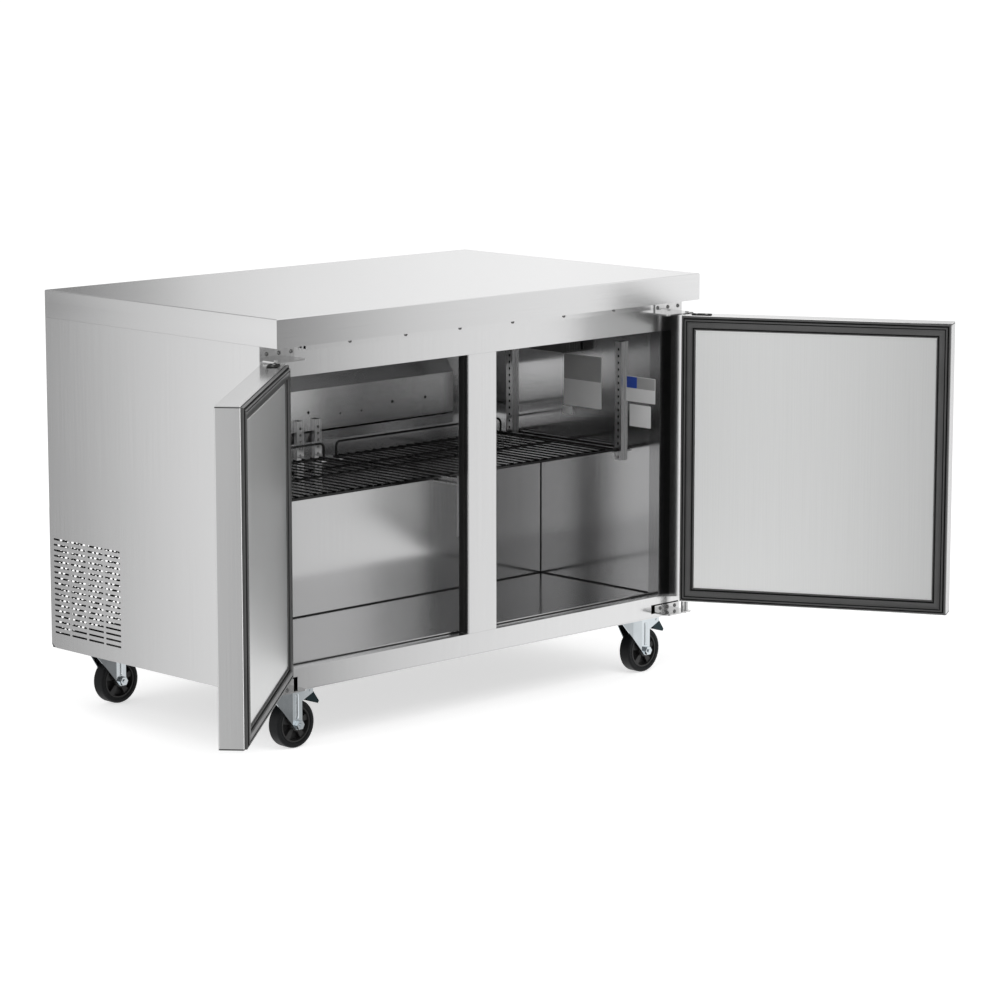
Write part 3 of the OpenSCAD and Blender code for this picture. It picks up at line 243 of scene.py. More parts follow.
def slot_materials():
    """The finish of each material slot in the record."""
    return {
        "worktop_steel": brushed_steel("worktop_steel", 0.81, 0.20, ALONG_X),
        "side_steel": brushed_steel("side_steel", 0.81, 0.20, ALONG_Z),
        "back_steel": brushed_steel("back_steel", 0.62, 0.36, ALONG_Z),
        "front_steel": brushed_steel("front_steel", 0.81, 0.17, ALONG_Z, anisotropy=0.3),
        "liner_steel": brushed_steel("liner_steel", 0.60, 0.13, ALONG_Z, anisotropy=0.6),
        "foam": foam("foam"),
        "evaporator_steel": brushed_steel("evaporator_steel", 0.80, 0.2, ALONG_X),
        "fins": plain_metal("fins", 0.75, 0.35, grain=200.0),
        "grey_plastic": moulded("grey_plastic", 0.07, 0.45),
        "black_paint": plain_metal("black_paint", 0.05, 0.4),
        "black_plastic": moulded("black_plastic", 0.02, 0.42),
        "fitting_steel": brushed_steel("fitting_steel", 0.62, 0.28, ALONG_Z),
        "shelf_wire": plain_metal("shelf_wire", 0.045, 0.16, grain=300.0),
        "hinge_steel": plain_metal("hinge_steel", 0.72, 0.12, grain=120.0, depth=0.01),
        "zinc": plain_metal("zinc", 0.80, 0.13, tint=(-0.05, 0.0, 0.03), grain=25.0, depth=0.01),
        "tyre_rubber": moulded("tyre_rubber", 0.006, 0.5, tint=(0, 0.001, 0.002), grain=500.0,
                               shine=0.25),
        "door_steel": brushed_steel("door_steel", 0.81, 0.20, ALONG_Z),
        "panel_steel": brushed_steel("panel_steel", 0.84, 0.38, ALONG_Z, anisotropy=0.3,
                                     tint=(-0.002, 0.004, 0)),
        "gasket_rubber": moulded("gasket_rubber", 0.062, 0.36, grain=700.0, depth=0.05,
                                 shine=0.6),
        "cap_steel": plain_metal("cap_steel", 0.82, 0.14, grain=700.0, depth=0.004),
    }


def extra_materials():
    """Finishes that only the pieces of this script, or single nodes, take."""
    return {
        # Near-black finish painted into the gasket's grooves as shade.
        "groove": moulded("groove", 0.004, 0.7, grain=700.0, depth=0.05),
        "sealant": moulded("sealant", 0.012, 0.5, grain=300.0, depth=0.05),
        "shade": moulded("shade", 0.006, 0.8, grain=300.0, depth=0.05),
        "label_white": moulded("label_white", 0.86, 0.5, grain=300.0, depth=0.02, worn=1.03),
        "label_grey": moulded("label_grey", 0.42, 0.45, grain=300.0, depth=0.02, worn=1.08),
        "label_blue": moulded("label_blue", 0.03, 0.45, tint=(0, 0.05, 0.40), grain=300.0,
                              depth=0.02, worn=1.08),
        "screw_steel": plain_metal("screw_steel", 0.30, 0.35, grain=120.0),
        "pedal": plain_metal("pedal", 0.045, 0.22, tint=(-0.012, 0.004, 0.009), grain=30.0),
        # Near-black metal: painted shade on the base pan, and the cover screws' own black heads.
        "pan_shade_and_screw_black": plain_metal("pan_shade_and_screw_black", 0.04, 0.5),
        "galvanised": plain_metal("galvanised", 0.50, 0.38, tint=(-0.01, 0, 0.01), grain=60.0),
        # A darker copy of the front steel: painted dark reflection on the front stiles.
        "stile_painted_reflection_steel": brushed_steel("stile_painted_reflection_steel", 0.42, 0.15, ALONG_Z, anisotropy=0.3),
    }


# Nodes whose finish isn't their slot's own
# The base pan's near-black finish is painted shade of the machine compartment.
NODE_FINISH = {"front_screws": "screw_steel", "brake_pedal_left": "pedal",
               "brake_pedal_right": "pedal", "base_pan": "pan_shade_and_screw_black",
               "front_stiles": "stile_painted_reflection_steel", "insulation": "galvanised"}


def dress_nodes(materials):
    """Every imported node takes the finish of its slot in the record, or its own."""
    for part in frame["record"]["subparts"]:
        mesh = NODES[part["node"]].data
        mesh.materials.clear()
        finish = NODE_FINISH.get(part["node"], part["material_slot"])
        mesh.materials.append(materials[finish])


# ------------------------------------------------------------------ piece helpers
MERGE = 1e-6                   # metres; points nearer than this are one
SMOOTH = 35                    # degrees; an edge that turns more stays sharp
LIFT = 0.05                    # clearance under a piece of trim, so that no faces coincide
CORNER_STEPS = 4


def make_piece(name, points, faces, body, materials, indices=None, smooth=SMOOTH):
    """A mesh from millimetre points, shaded smooth below an angle, riding on a body."""
    mesh = bpy.data.meshes.new(name)
    mesh.from_pydata([tuple(v * MM for v in p) for p in points], [], faces)
    for material in materials:
        mesh.materials.append(material)
    if indices:
        mesh.polygons.foreach_set("material_index", indices)
    work = bmesh.new()
    work.from_mesh(mesh)
    bmesh.ops.remove_doubles(work, verts=work.verts, dist=MERGE)
    bmesh.ops.recalc_face_normals(work, faces=work.faces)
    work.to_mesh(mesh)
    work.free()
    for polygon in mesh.polygons:
        polygon.use_smooth = True
    mesh.set_sharp_from_angle(angle=math.radians(smooth))
    piece = bpy.data.objects.new(name, mesh)
    SCENE.collection.objects.link(piece)
    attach(piece, body)
    return piece


def strip_faces(sections, closed_run):
    """Faces between closed sections that follow each other, and the ends of an open run."""
    count, n = len(sections), len(sections[0])
    faces = []
    for k in range(count if closed_run else count - 1):
        a, b = k * n, ((k + 1) % count) * n
        for i in range(n):
            j = (i + 1) % n
            faces.append((a + i, a + j, b + j, b + i))
    if not closed_run:
        faces.append(tuple(range(n)))
        faces.append(tuple(range((count - 1) * n, count * n)))
    return faces


def make_run(name, sections, body, finish, closed=False, smooth=SMOOTH):
    """A piece of one finish over sections that follow each other."""
    make_piece(name, [p for section in sections for p in section], strip_faces(sections, closed),
               body, (FINISH[finish],), smooth=smooth)


def rounded(x0, y0, x1, y1, r):
    """Outline of a rectangle with rounded corners."""
    points = []
    for cx, cy, start in ((x1 - r, y0 + r, -90), (x1 - r, y1 - r, 0), (x0 + r, y1 - r, 90),
                          (x0 + r, y0 + r, 180)):
        for i in range(CORNER_STEPS + 1):
            a = math.radians(start + 90 * i / CORNER_STEPS)
            points.append((cx + r * math.cos(a), cy + r * math.sin(a)))
    return points


# ------------------------------------------------------------------ doors
DOOR_X = (9.4, 602.0)          # free and hinge edges of the closed right door
DOOR_Z = (166.3, 802.7)        # foot and top
DOOR_IN = -327.5               # inner face of a closed door
DOOR_OUT = -376.0              # outer face
PIN = (594.0, -347.8)          # X and Y of the right door's pins
OPEN = {"left": 139.1, "right": 120.2}         # degrees that the doors stand open at rest
GASKET_IN = 2.0                # the gasket's outline inside the door's edge
# Section of the gasket: distance from its outer edge, height, and whether the way to the next
# point lies in a groove, whose faces take a near-black finish as painted shade.
GASKET = ((0.4, 0.2, 0), (0.4, 4.2, 0), (0.9, 5.0, 0), (1.9, 5.5, 0), (3.0, 5.2, 0),
          (3.7, 4.4, 1), (3.9, 1.4, 1), (6.0, 1.4, 1), (6.2, 7.4, 0), (6.9, 8.7, 0), (8.2, 9.1, 0),
          (9.4, 8.8, 0), (10.1, 7.9, 1), (10.3, 5.0, 1), (11.7, 5.0, 1), (11.9, 7.6, 0),
          (13.0, 8.5, 0), (16.0, 8.8, 0), (20.0, 8.8, 0), (22.6, 8.3, 0), (23.9, 7.2, 0),
          (24.4, 5.6, 1), (24.6, 1.6, 1), (26.6, 1.6, 1), (26.9, 3.2, 0), (27.6, 3.9, 0),
          (28.8, 3.9, 0), (29.7, 3.0, 0), (30.0, 1.8, 0), (30.0, 0.2, 0))


def hang(side, x, y, z):
    """Where a point of the closed right door is on this side's door as it stands open."""
    a = math.radians(OPEN[side])
    dx, dy = x - PIN[0], y - PIN[1]
    px = PIN[0] + dx * math.cos(a) - dy * math.sin(a)
    py = PIN[1] + dx * math.sin(a) + dy * math.cos(a)
    return (-px if side == "left" else px, py, z)


def door_corners(inset):
    """Corners (x, z) of the door's outline, drawn in by inset."""
    return ((DOOR_X[0] + inset, DOOR_Z[0] + inset), (DOOR_X[1] - inset, DOOR_Z[0] + inset),
            (DOOR_X[1] - inset, DOOR_Z[1] - inset), (DOOR_X[0] + inset, DOOR_Z[1] - inset))


def door_gasket(side):
    """Magnetic gasket with mitred corners round the door's inner panel."""
    sections = []
    for k in range(4):
        section = []
        for across, height, _ in GASKET:
            x, z = door_corners(GASKET_IN + across)[k]
            section.append(hang(side, x, DOOR_IN + height, z))
        sections.append(section)
    # Faces in the grooves take the painted groove shade.
    indices = [groove for _, _, groove in GASKET] * 4
    piece = make_piece(side + "_gasket", [p for section in sections for p in section],
                       strip_faces(sections, True), side + "_door",
                       (FINISH["gasket_rubber"], FINISH["groove"]), indices)
    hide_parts(side + "_door_gasket")


CAP_T = 1.4                    # plate of a cap
CAP_GAP = 1.8                  # seam between a cap and the shell
# Painted seam shade, outer and inner outline: how far inside the door's edge, and the corners'
# radius
CAP_SEAM_SHADE = ((0.5, 2), (1.1, 1.4))


def door_plan(inset, r):
    """Rounded outline of the door seen from above, drawn in by inset."""
    return rounded(DOOR_X[0] + inset, DOOR_OUT + inset, DOOR_X[1] - inset, DOOR_IN - inset, r)


def cap_seam_shades(side):
    """Dark strip in the seam between each cap and the shell: painted shade of the seam."""
    outer, inner = (door_plan(inset, r) for inset, r in CAP_SEAM_SHADE)
    for name, z in (("lower", DOOR_Z[0] + CAP_T), ("upper", DOOR_Z[1] - CAP_T - CAP_GAP)):
        z0, z1 = z + LIFT, z + CAP_GAP - LIFT
        sections = [[hang(side, *a, z0), hang(side, *a, z1), hang(side, *b, z1),
                     hang(side, *b, z0)] for a, b in zip(outer, inner)]
        # Painted shade for the seam's shadow under each cap.
        make_run(f"{side}_{name}_cap_seam_shade", sections, side + "_door", "shade",
                 closed=True)


HINGE_PLATE = (540.0, -358.8, 584.0, -336.8)   # outline of the hinge plate on the door's cap
HINGE_PLATE_T = 1.6
# The painted shade from its foot up: height over the cap, and how far it reaches past the plate
HINGE_SHADE = ((LIFT, 0.6), (HINGE_PLATE_T - 0.1, 0.6), (HINGE_PLATE_T + 0.25, 0.2))
HINGE_SHADE_CORNER = 6


def hinge_arm_shade(side):
    """Dark slab over the hinge plate on the upper cap: painted shadow of the bracket's arm."""
    x0, y0, x1, y1 = HINGE_PLATE
    sections = []
    for rise, grow in HINGE_SHADE:
        outline = rounded(x0 - grow, y0 - grow, x1 + grow, y1 + grow, HINGE_SHADE_CORNER)
        sections.append([hang(side, x, y, DOOR_Z[1] + rise) for x, y in outline])
    # Painted shadow under the bracket's arm.
    make_run(side + "_hinge_arm_shade", sections, side + "_door", "shade")


EDGE_SHADE_INSET = 4                # from the door's faces
EDGE_SHADE_END = 6                  # from the door's top and foot
EDGE_SHADE_RIBS = 6
EDGE_SHADE_RIB = ((0.7, 0.2), (1.1, 0.5), (0.7, 0.8))   # height, and place as a share of the width


def hinge_edge_shade(side):
    """Ribbed dark strip down the door's hinge edge: painted dark reflection of that edge."""
    profile = [(0.0, DOOR_OUT + EDGE_SHADE_INSET)]
    width = (DOOR_IN - DOOR_OUT - 2 * EDGE_SHADE_INSET) / EDGE_SHADE_RIBS
    for i in range(EDGE_SHADE_RIBS):
        y = DOOR_OUT + EDGE_SHADE_INSET + i * width
        profile += [(height, y + share * width) for height, share in EDGE_SHADE_RIB]
    profile.append((0.0, DOOR_IN - EDGE_SHADE_INSET))
    sections = [[hang(side, DOOR_X[1] + LIFT + out, y, z) for out, y in profile]
                for z in (DOOR_Z[0] + EDGE_SHADE_END, DOOR_Z[1] - EDGE_SHADE_END)]
    # Painted dark reflection along the hinge edge, in the dark sealant finish.
    make_run(side + "_hinge_edge_shade", sections, side + "_door", "sealant")


# ------------------------------------------------------------------ inside
WALL_X = 541.0                 # inner faces of the side walls
INNER_Y = -287.5               # front of the storage space
LOW_Y = 50.0                   # lower back wall
HIGH_Y = 305.0                 # upper back wall
FLOOR_Z = 181.0                # liner's floor
STEP_Z = 440.0                 # shelf of the liner over the machine compartment
CEILING_Z = 775.0
BEAD_R = 2.6
BEAD_STEPS = 5
END_GAP = 1                    # from the end of a bead or strip to what lies beyond it


def bead(name, start, end, a, b):
    """Bead of sealant along the corner of two sheets; a and b point along the sheets."""
    sections = []
    for p in (start, end):
        origin = [p[i] + LIFT * (a[i] + b[i]) for i in range(3)]
        section = [tuple(origin)]
        for step in range(BEAD_STEPS + 1):
            t = math.radians(90 * step / BEAD_STEPS)
            u, v = BEAD_R * (1 - math.sin(t)), BEAD_R * (1 - math.cos(t))
            section.append(tuple(origin[i] + u * a[i] + v * b[i] for i in range(3)))
        sections.append(section)
    make_run(name, sections, "cabinet", "sealant")


def liner_beads():
    """Beads of sealant along the corners of the liner."""
    for name, sx in SIDES:
        x, inward = sx * WALL_X, (-sx, 0, 0)
        bead(name + "_low_corner_bead", (x, LOW_Y, FLOOR_Z), (x, LOW_Y, STEP_Z),
             inward, (0, -1, 0))
        bead(name + "_high_corner_bead", (x, HIGH_Y, STEP_Z), (x, HIGH_Y, CEILING_Z),
             inward, (0, -1, 0))
        bead(name + "_floor_bead", (x, INNER_Y + END_GAP, FLOOR_Z), (x, LOW_Y, FLOOR_Z),
             inward, (0, 0, 1))
        bead(name + "_step_bead", (x, LOW_Y, STEP_Z), (x, HIGH_Y, STEP_Z), inward, (0, 0, 1))
    bead("back_floor_bead", (-WALL_X, LOW_Y, FLOOR_Z), (WALL_X, LOW_Y, FLOOR_Z),
         (0, -1, 0), (0, 0, 1))
    bead("back_step_bead", (-WALL_X, HIGH_Y, STEP_Z), (WALL_X, HIGH_Y, STEP_Z),
         (0, -1, 0), (0, 0, 1))


SILL_Z = 177.0                 # top of the bottom rail
MULLION_X = 41.5               # the mullion's sides
# Section of the sill's seal, from the front of the storage space and the top of the rail
SILL_SEAL = ((-2.4, LIFT), (-2.0, 1.0), (-1.2, 1.7), (-0.2, 2.0), (-0.2, LIFT))


def sill_seals():
    """Dark seal that bridges the bottom rail and the liner's floor in each mouth."""
    x0, x1 = MULLION_X + END_GAP, WALL_X - END_GAP
    for name, ends in (("left", (-x1, -x0)), ("right", (x0, x1))):
        sections = [[(x, INNER_Y + y, SILL_Z + z) for y, z in SILL_SEAL] for x in ends]
        make_run(name + "_sill_seal", sections, "cabinet", "sealant")


MULLION_Z = (177.6, 767.4)     # foot and top of the strips
# Section of the breaker strip: how far it stands out of the mullion's side, and its Y
BREAKER = ((LIFT, -314.0), (0.7, -313.0), (0.9, -311.0), (0.9, -305.6), (0.5, -305.0),
           (0.9, -304.4), (0.9, -291.0), (0.7, -289.8), (LIFT, -289.0))


def breaker_strips():
    """Dark plastic strip, grooved once, on each side of the mullion."""
    for name, sx in SIDES:
        sections = [[(sx * (MULLION_X + out), y, z) for out, y in BREAKER] for z in MULLION_Z]
        make_run(name + "_breaker_strip", sections, "cabinet", "sealant")


COVER_FACE_Y = 240.0           # upright face of the evaporator's cover
# X, Z and radius of each screw's head
COVER_SCREWS = ((-360, 584, 3.4), (-258, 584, 3.4), (7, 584, 3.4), (258, 584, 3.4),
                (360, 584, 3.4), (101, 573, 2.2), (165, 573, 2.2))
# The head from its foot up: share of its radius, and height
SCREW_DOME = ((1.0, LIFT), (0.94, 0.6), (0.7, 1.0), (0.35, 1.2))
SCREW_STEPS = 18


def cover_screws():
    """Domed heads in the upright face of the evaporator's cover."""
    turns = [math.radians(360 * i / SCREW_STEPS) for i in range(SCREW_STEPS)]
    for k, (x, z, r) in enumerate(COVER_SCREWS):
        sections = [[(x + share * r * math.cos(t), COVER_FACE_Y - out,
                      z + share * r * math.sin(t)) for t in turns] for share, out in SCREW_DOME]
        make_run(f"cover_screw_{k}", sections, "cabinet", "pan_shade_and_screw_black")


# Bare plates on the right wall: their sides in Y and in Z, finish, and how far they stand out
PLATES = (("plate_large", -140, -23, 576, 693, "label_white", 0.4),
          ("plate_large_band", -139, -24, 636, 692, "label_grey", 0.6),
          ("plate_small", -49, -19, 556, 573, "label_white", 0.4),
          ("plate_front", -304, -217, 604, 660, "label_white", 0.4),
          ("plate_front_band", -303, -218, 634, 659, "label_grey", 0.6),
          ("plate_front_corner", -249, -218, 634, 659, "label_blue", 0.8),
          ("plate_front_low", -291, -227, 549, 598, "label_white", 0.4))
PLATE_CORNER = 2
PLATE_CROWN = 0.1              # what the face rises within PLATE_EDGE of its rim
PLATE_EDGE = 0.3


def wall_plates():
    """Bare plates with rounded corners where the photograph has labels."""
    for name, y0, y1, z0, z1, finish, proud in PLATES:
        sections = []
        for out, inset in ((LIFT, 0), (proud, 0), (proud + PLATE_CROWN, PLATE_EDGE)):
            outline = rounded(y0 + inset, z0 + inset, y1 - inset, z1 - inset, PLATE_CORNER)
            sections.append([(WALL_X - out, y, z) for y, z in outline])
        make_run(name, sections, "cabinet", finish)


UPRIGHT_D = 10.2               # from the wall to an upright's face
UPRIGHT_HALF = 8.2             # half the width of the strip behind it
UPRIGHT_Y = (-201.0, 142.0)
UPRIGHT_Z = (470.0, 735.0)
UPRIGHT_HOLE_SHADE = (1.4, 2.0)      # faces of that strip, behind the upright's face


def upright_hole_shades():
    """Dark strip behind the holes of each upright on the side walls: painted shade seen through
    the holes.
    """
    near, far = UPRIGHT_HOLE_SHADE
    section = ((near, -UPRIGHT_HALF), (near, UPRIGHT_HALF), (far, UPRIGHT_HALF),
               (far, -UPRIGHT_HALF))
    for name, sx in SIDES:
        for i, y in enumerate(UPRIGHT_Y):
            sections = [[(sx * (WALL_X - UPRIGHT_D + dx), y + dy, z) for dx, dy in section]
                        for z in (UPRIGHT_Z[0] + END_GAP, UPRIGHT_Z[1] - END_GAP)]
            # Painted shade behind the upright's holes.
            make_run(f"{name}_upright_back_{i}", sections, "cabinet", "shade")


# ------------------------------------------------------------------ rear
COVER_X = 607.5                # half its width
COVER_Z = (134.0, 429.8)
COVER_Y = (370.2, 373.0)       # front of its turned edges, and its outer face
COVER_T = 1.0
COVER_SMOOTH = 25
HOLE_R = 4.1
HOLE_PITCH = 12.0
HOLE_COLUMNS = 24
HOLE_ROWS = 25
ROW_PITCH = HOLE_PITCH * math.sin(math.radians(60))
FIELD_X = 590.0                # outer side of each field of holes
FIELD_IN = FIELD_X - HOLE_COLUMNS * HOLE_PITCH         # its inner side
FIELD_Z = (155.0, 155.0 + HOLE_ROWS * ROW_PITCH)
HOLED, PLAIN = 0, 2            # places of the two outer finishes; each inner one comes next
# A cell's border from its middle, in half widths and half heights
CELL = ((1, 0), (1, 1), (0.5, 1), (0, 1), (-0.5, 1), (-1, 1),
        (-1, 0), (-1, -1), (-0.5, -1), (0, -1), (0.5, -1), (1, -1))


def hole_cell(cx, cz):
    """Outlines of the faces between the border of one cell and its hole."""
    border = [(cx + x * HOLE_PITCH / 2, cz + z * ROW_PITCH / 2) for x, z in CELL]
    hole = []
    for x, z in border:
        k = HOLE_R / math.hypot(x - cx, z - cz)
        hole.append((cx + (x - cx) * k, cz + (z - cz) * k))
    outlines = []
    for k in range(len(CELL)):
        n = (k + 1) % len(CELL)
        outlines.append((border[k], border[n], hole[n], hole[k]))
    return outlines


def hole_field(x0, x1):
    """Outlines of one staggered field of holes; every other row has one hole less."""
    half = HOLE_PITCH / 2
    outlines = []
    for j in range(HOLE_ROWS):
        z = FIELD_Z[0] + (j + 0.5) * ROW_PITCH
        short = j % 2
        for i in range(HOLE_COLUMNS - short):
            outlines += hole_cell(x0 + half * short + half + i * HOLE_PITCH, z)
        if short:
            za, zb = z - ROW_PITCH / 2, z + ROW_PITCH / 2
            for a, b in ((x0, x0 + half), (x1 - half, x1)):
                m = (a + b) / 2
                outlines.append(((a, za), (m, za), (b, za), (b, z), (b, zb), (m, zb), (a, zb),
                                 (a, z)))
    return outlines


def plain_sheet(fields):
    """Outlines of the sheet round the fields, with the points that the fields' sides have."""
    foot, head = FIELD_Z
    quarters = [i * HOLE_PITCH / 4 for i in range(4 * HOLE_COLUMNS + 1)]
    halves = [foot + i * ROW_PITCH / 2 for i in range(2 * HOLE_ROWS + 1)]
    xs = [x0 + q for x0, _ in fields for q in quarters]
    outlines = [[(-COVER_X, COVER_Z[0]), (COVER_X, COVER_Z[0]), (COVER_X, foot)]
                + [(x, foot) for x in reversed(xs)] + [(-COVER_X, foot)],
                [(-COVER_X, head)] + [(x, head) for x in xs]
                + [(COVER_X, head), (COVER_X, COVER_Z[1]), (-COVER_X, COVER_Z[1])]]
    for a, b in ((-COVER_X, -FIELD_X), (-FIELD_IN, FIELD_IN), (FIELD_X, COVER_X)):
        right = [(b, foot), (b, head)] if b == COVER_X else [(b, z) for z in halves]
        left = [(a, head), (a, foot)] if a == -COVER_X else [(a, z) for z in reversed(halves)]
        outlines.append(right + left)
    return outlines


def perforated_cover():
    """Cover of the machine compartment, with a fine staggered field of holes at each end."""
    fields = ((-FIELD_X, -FIELD_IN), (FIELD_IN, FIELD_X))
    outlines = [(outline, HOLED) for field in fields for outline in hole_field(*field)]
    outlines += [(outline, PLAIN) for outline in plain_sheet(fields)]
    points, faces, indices = [], [], []
    for outline, index in outlines:
        faces.append(tuple(range(len(points), len(points) + len(outline))))
        points.extend((x, COVER_Y[1], z) for x, z in outline)
        indices.append(index)
    ring = ((-COVER_X, COVER_Z[0]), (COVER_X, COVER_Z[0]), (COVER_X, COVER_Z[1]),
            (-COVER_X, COVER_Z[1]))
    for (xa, za), (xb, zb) in zip(ring, ring[1:] + ring[:1]):
        faces.append(tuple(range(len(points), len(points) + 4)))
        points.extend(((xa, COVER_Y[1], za), (xb, COVER_Y[1], zb),
                       (xb, COVER_Y[0], zb), (xa, COVER_Y[0], za)))
        indices.append(PLAIN)
    # Painted inner faces: shade behind the holed fields, a lighter grey painted light on the plain
    # border.
    steel = FINISH["back_steel"]
    piece = make_piece("perforated_cover", points, faces, "cabinet",
                       (steel, FINISH["shade"], steel, FINISH["label_grey"]), indices,
                       COVER_SMOOTH)
    if piece.data.polygons[0].normal.y < 0:
        piece.data.flip_normals()
    solid = piece.modifiers.new("sheet", "SOLIDIFY")
    solid.thickness = COVER_T * MM
    solid.offset = -1
    solid.material_offset = 1
    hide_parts("rear_vent_cover")


NOTCH = (577.5, 137, 607.5, 164)               # the plate's sides in X and Z on the right
NOTCH_CORNER = 1.5
NOTCH_SHADE = ((-300.0, 0), (-299.0, 0), (-298.6, 0.5))   # Y, and how far it is drawn in there


def notch_shades():
    """Dark plate behind each cut-out for the lower hinge brackets: painted shade of the recess."""
    x0, z0, x1, z1 = NOTCH
    for name, sx in SIDES:
        sections = []
        for y, inset in NOTCH_SHADE:
            outline = rounded(x0 + inset, z0 + inset, x1 - inset, z1 - inset, NOTCH_CORNER)
            sections.append([(sx * x, y, z) for x, z in outline])
        # Painted shade in the recess behind the cut-out.
        make_run(name + "_notch_shade", sections, "cabinet", "shade")


# ------------------------------------------------------------------ casters
CASTER_X = 514.0
CASTER_Y = {"front": -260.0, "rear": 311.0}
LEG_FACE = 21.8                # outer face of a fork's leg, from the swivel axis
RIB_X = 25.0                   # middle of the pressed rib, from the swivel axis towards +X
RIB_HALF = 4.5
RIB_RISE = 1.7
# Height of each section of the rib, and the share of its full rise there
RIB_Z = ((62.0, 0.1), (65.0, 0.8), (69.0, 1.0), (105.0, 1.0), (110.0, 0.8), (113.0, 0.1))
RIB_STEPS = 8
RIB_SMOOTH = 60


def fork_ribs():
    """Pressed rib down the outer face of each fork's legs."""
    turns = [math.radians(180 * i / RIB_STEPS) for i in range(RIB_STEPS + 1)]
    for row, y in CASTER_Y.items():
        for side, sx in SIDES:
            for place, sy in (("near", -1), ("far", 1)):
                sections = []
                for z, share in RIB_Z:
                    sections.append([(sx * CASTER_X + RIB_X - RIB_HALF * math.cos(t),
                                      y + sy * (LEG_FACE + LIFT + RIB_RISE * share * math.sin(t)),
                                      z) for t in turns])
                make_run(f"fork_{row}_{side}_{place}_rib", sections, f"fork_{row}_{side}",
                         "zinc", smooth=RIB_SMOOTH)


# ------------------------------------------------------------------ stage
FLOOR_HALF = 40.0         # half its width
FLOOR_DROP = 0.0008       # under the tyres, so that no faces coincide
FLOOR_LEVEL = 0.82
FLOOR_GLOW = 0.62         # what the floor adds for the camera, so that it reads as white
SURROUND_R = 2.0
SURROUND_COLUMNS = 360
SURROUND_Z = (-1.6, -0.30, -0.10, 3.2)
PANEL_ROW = 2             # first of these heights that the light panel reaches
# Brightness of the studio's surround by the direction from its middle, in degrees from the back
# towards the right: white walls with grey gaps between them.
SURROUND = ((-180, 0.20), (-152, 0.18), (-140, 0.22), (-122, 0.56),
            (-108, 0.88), (-100, 0.84), (-88, 0.72), (-78, 0.80), (-68, 0.94), (-60, 0.91),
            (-55, 0.79), (-51, 0.66), (-48, 0.52), (-45, 0.33), (-38, 0.28), (-26, 0.42),
            (-12, 0.60), (0, 0.50), (10, 0.28), (19, 0.26), (24, 0.42), (29, 0.68), (36, 0.82),
            (47, 0.93), (56, 0.98), (68, 0.95), (80, 0.80), (92, 0.70), (104, 0.80), (118, 0.95),
            (130, 0.98), (141, 0.87), (149, 0.75), (154, 0.54), (158, 0.32), (163, 0.20),
            (180, 0.20))
# Soft light panel straight ahead of the doors: its half width in degrees, and what it adds
PANEL_HALF = 15.0
PANEL_LEVEL = 0.42
# Folded white card, in plan, that the right door's inner side faces
CARD = ((-0.87, -0.78), (-0.73, -1.12), (-1.55, -1.97))
CARD_Z = (-1.1, 1.9)
CARD_LEVEL = 1.15


def make_floor():
    """Wide pale floor that takes the shadow."""
    mesh = bpy.data.meshes.new("floor")
    h = FLOOR_HALF
    mesh.from_pydata([(-h, -h, 0), (h, -h, 0), (h, h, 0), (-h, h, 0)], [], [(0, 1, 2, 3)])
    floor = bpy.data.objects.new("floor", mesh)
    floor.location.z = -FLOOR_DROP
    floor.visible_glossy = False
    SCENE.collection.objects.link(floor)
    s = Shader("floor")
    s.set(Base_Color=grey(FLOOR_LEVEL), Roughness=1.0, Specular_IOR_Level=0.0,
          Emission_Color=grey(1.0))
    camera_ray = s.add("ShaderNodeLightPath").outputs["Is Camera Ray"]
    s.join(s.math("MULTIPLY", camera_ray, FLOOR_GLOW), s.surface.inputs["Emission Strength"])
    mesh.materials.append(s.material)


def surround_level(degrees):
    """The surround's brightness in one direction, between the two nearest of its table."""
    k = max(1, bisect_left(SURROUND, degrees, key=lambda entry: entry[0]))
    (a, low), (b, high) = SURROUND[k - 1:k + 1]
    return low + (high - low) * (degrees - a) / (b - a)


def panel_level(degrees, row):
    """What the light panel adds in one direction, at one of the surround's heights."""
    off = (180 - abs(degrees)) / PANEL_HALF
    if row < PANEL_ROW or off > 1:
        return 0.0
    return PANEL_LEVEL * 0.5 * (1 + math.cos(math.pi * off))


def stage_glow(name, mesh):
    """Puts a glowing mesh on the stage that only reflections see.

    Returns its shader and the socket that sets how bright it is.
    """
    piece = bpy.data.objects.new(name, mesh)
    SCENE.collection.objects.link(piece)
    for ray in ("camera", "diffuse", "shadow", "transmission", "volume_scatter"):
        setattr(piece, "visible_" + ray, False)
    s = Shader(name)
    glow = s.add("ShaderNodeEmission")
    s.join(glow.outputs["Emission"], s.nodes["Material Output"].inputs["Surface"])
    mesh.materials.append(s.material)
    return s, glow.inputs["Strength"]


def make_surround():
    """Round wall that only reflections see."""
    columns, rows = SURROUND_COLUMNS, len(SURROUND_Z)
    points, faces, levels = [], [], []
    for i in range(columns):
        degrees = -180 + 360 * i / columns
        angle = math.radians(degrees)
        for row, z in enumerate(SURROUND_Z):
            points.append((SURROUND_R * math.sin(angle), SURROUND_R * math.cos(angle), z))
            levels.append(surround_level(degrees) + panel_level(degrees, row))
        a, b = rows * i, rows * ((i + 1) % columns)
        for row in range(rows - 1):
            faces.append((a + row, b + row, b + row + 1, a + row + 1))
    mesh = bpy.data.meshes.new("surround")
    mesh.from_pydata(points, [], faces)
    layer = mesh.attributes.new("level", "FLOAT", "POINT")
    layer.data.foreach_set("value", levels)
    s, strength = stage_glow("surround", mesh)
    s.join(s.add("ShaderNodeAttribute", attribute_name="level").outputs["Fac"], strength)


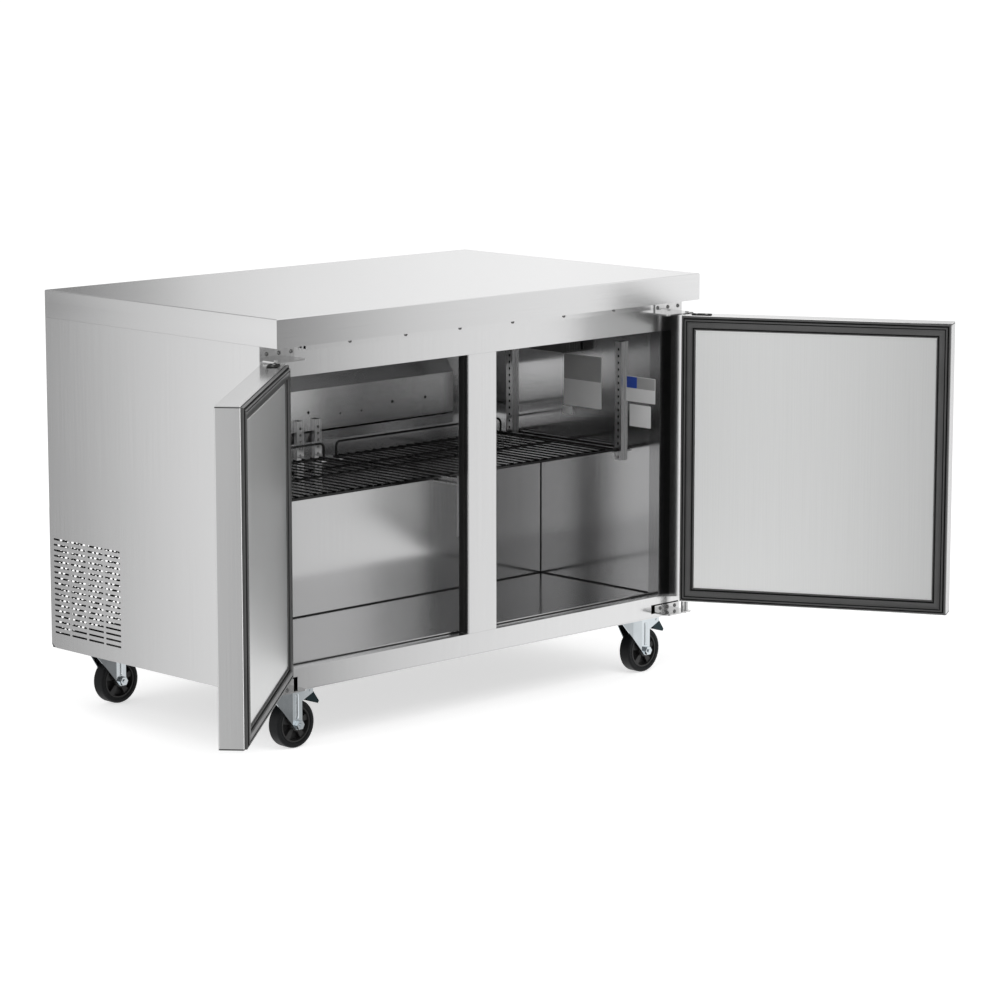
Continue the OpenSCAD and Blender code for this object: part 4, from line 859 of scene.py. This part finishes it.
def make_card():
    """White card beside the camera that only reflections see."""
    mesh = bpy.data.meshes.new("card")
    n = len(CARD)
    mesh.from_pydata([(x, y, z) for z in CARD_Z for x, y in CARD], [],
                     [(i, i + 1, n + i + 1, n + i) for i in range(n - 1)])
    _, strength = stage_glow("card", mesh)
    strength.default_value = CARD_LEVEL


WORLD_LEVEL = 0.55        # of the sky as a light; camera, reflections and glass see it white


def make_world():
    """Even sky, dimmer as a light than it looks."""
    world = bpy.data.worlds.new("studio")
    SCENE.world = world
    world.use_nodes = True
    nodes, links = world.node_tree.nodes, world.node_tree.links
    background = nodes["Background"]
    background.inputs["Color"].default_value = grey(1.0)
    rays = nodes.new("ShaderNodeLightPath").outputs
    seen = nodes.new("ShaderNodeMath")
    links.new(rays["Is Camera Ray"], seen.inputs[0])
    links.new(rays["Is Glossy Ray"], seen.inputs[1])
    all_seen = nodes.new("ShaderNodeMath")
    all_seen.use_clamp = True
    links.new(seen.outputs["Value"], all_seen.inputs[0])
    links.new(rays["Is Transmission Ray"], all_seen.inputs[1])
    scale = nodes.new("ShaderNodeMapRange")
    scale.inputs["To Min"].default_value = WORLD_LEVEL
    scale.inputs["To Max"].default_value = 1.0
    links.new(all_seen.outputs["Value"], scale.inputs["Value"])
    links.new(scale.outputs["Result"], background.inputs["Strength"])


LAMP_AIM = Vector((0, 0, 0.4))
# Soft lamps: place, width and height in metres, and power in watts
LAMPS = (("key", (-1.0, -4.5, 5.0), (4.0, 3.0), 120),
         ("fill", (-5.0, 1.0, 3.0), (3.0, 3.0), 45))


def make_lamps():
    """Soft lamps that no reflection shows."""
    for name, at, size, power in LAMPS:
        data = bpy.data.lights.new(name, "AREA")
        data.shape = "RECTANGLE"
        data.size, data.size_y = size
        data.energy = power
        lamp = bpy.data.objects.new(name, data)
        lamp.location = at
        lamp.rotation_euler = (LAMP_AIM - Vector(at)).to_track_quat("-Z", "Y").to_euler()
        lamp.visible_glossy = False
        SCENE.collection.objects.link(lamp)


# ------------------------------------------------------------------ build
make_camera()
make_world()
make_lamps()
make_floor()
make_surround()
make_card()
FINISH = {**slot_materials(), **extra_materials()}
dress_nodes(FINISH)
for side_name, _ in SIDES:
    door_gasket(side_name)
    cap_seam_shades(side_name)
    hinge_arm_shade(side_name)
    hinge_edge_shade(side_name)
liner_beads()
sill_seals()
breaker_strips()
cover_screws()
wall_plates()
upright_hole_shades()
perforated_cover()
notch_shades()
fork_ribs()

SCENE.view_settings.view_transform = "Standard"
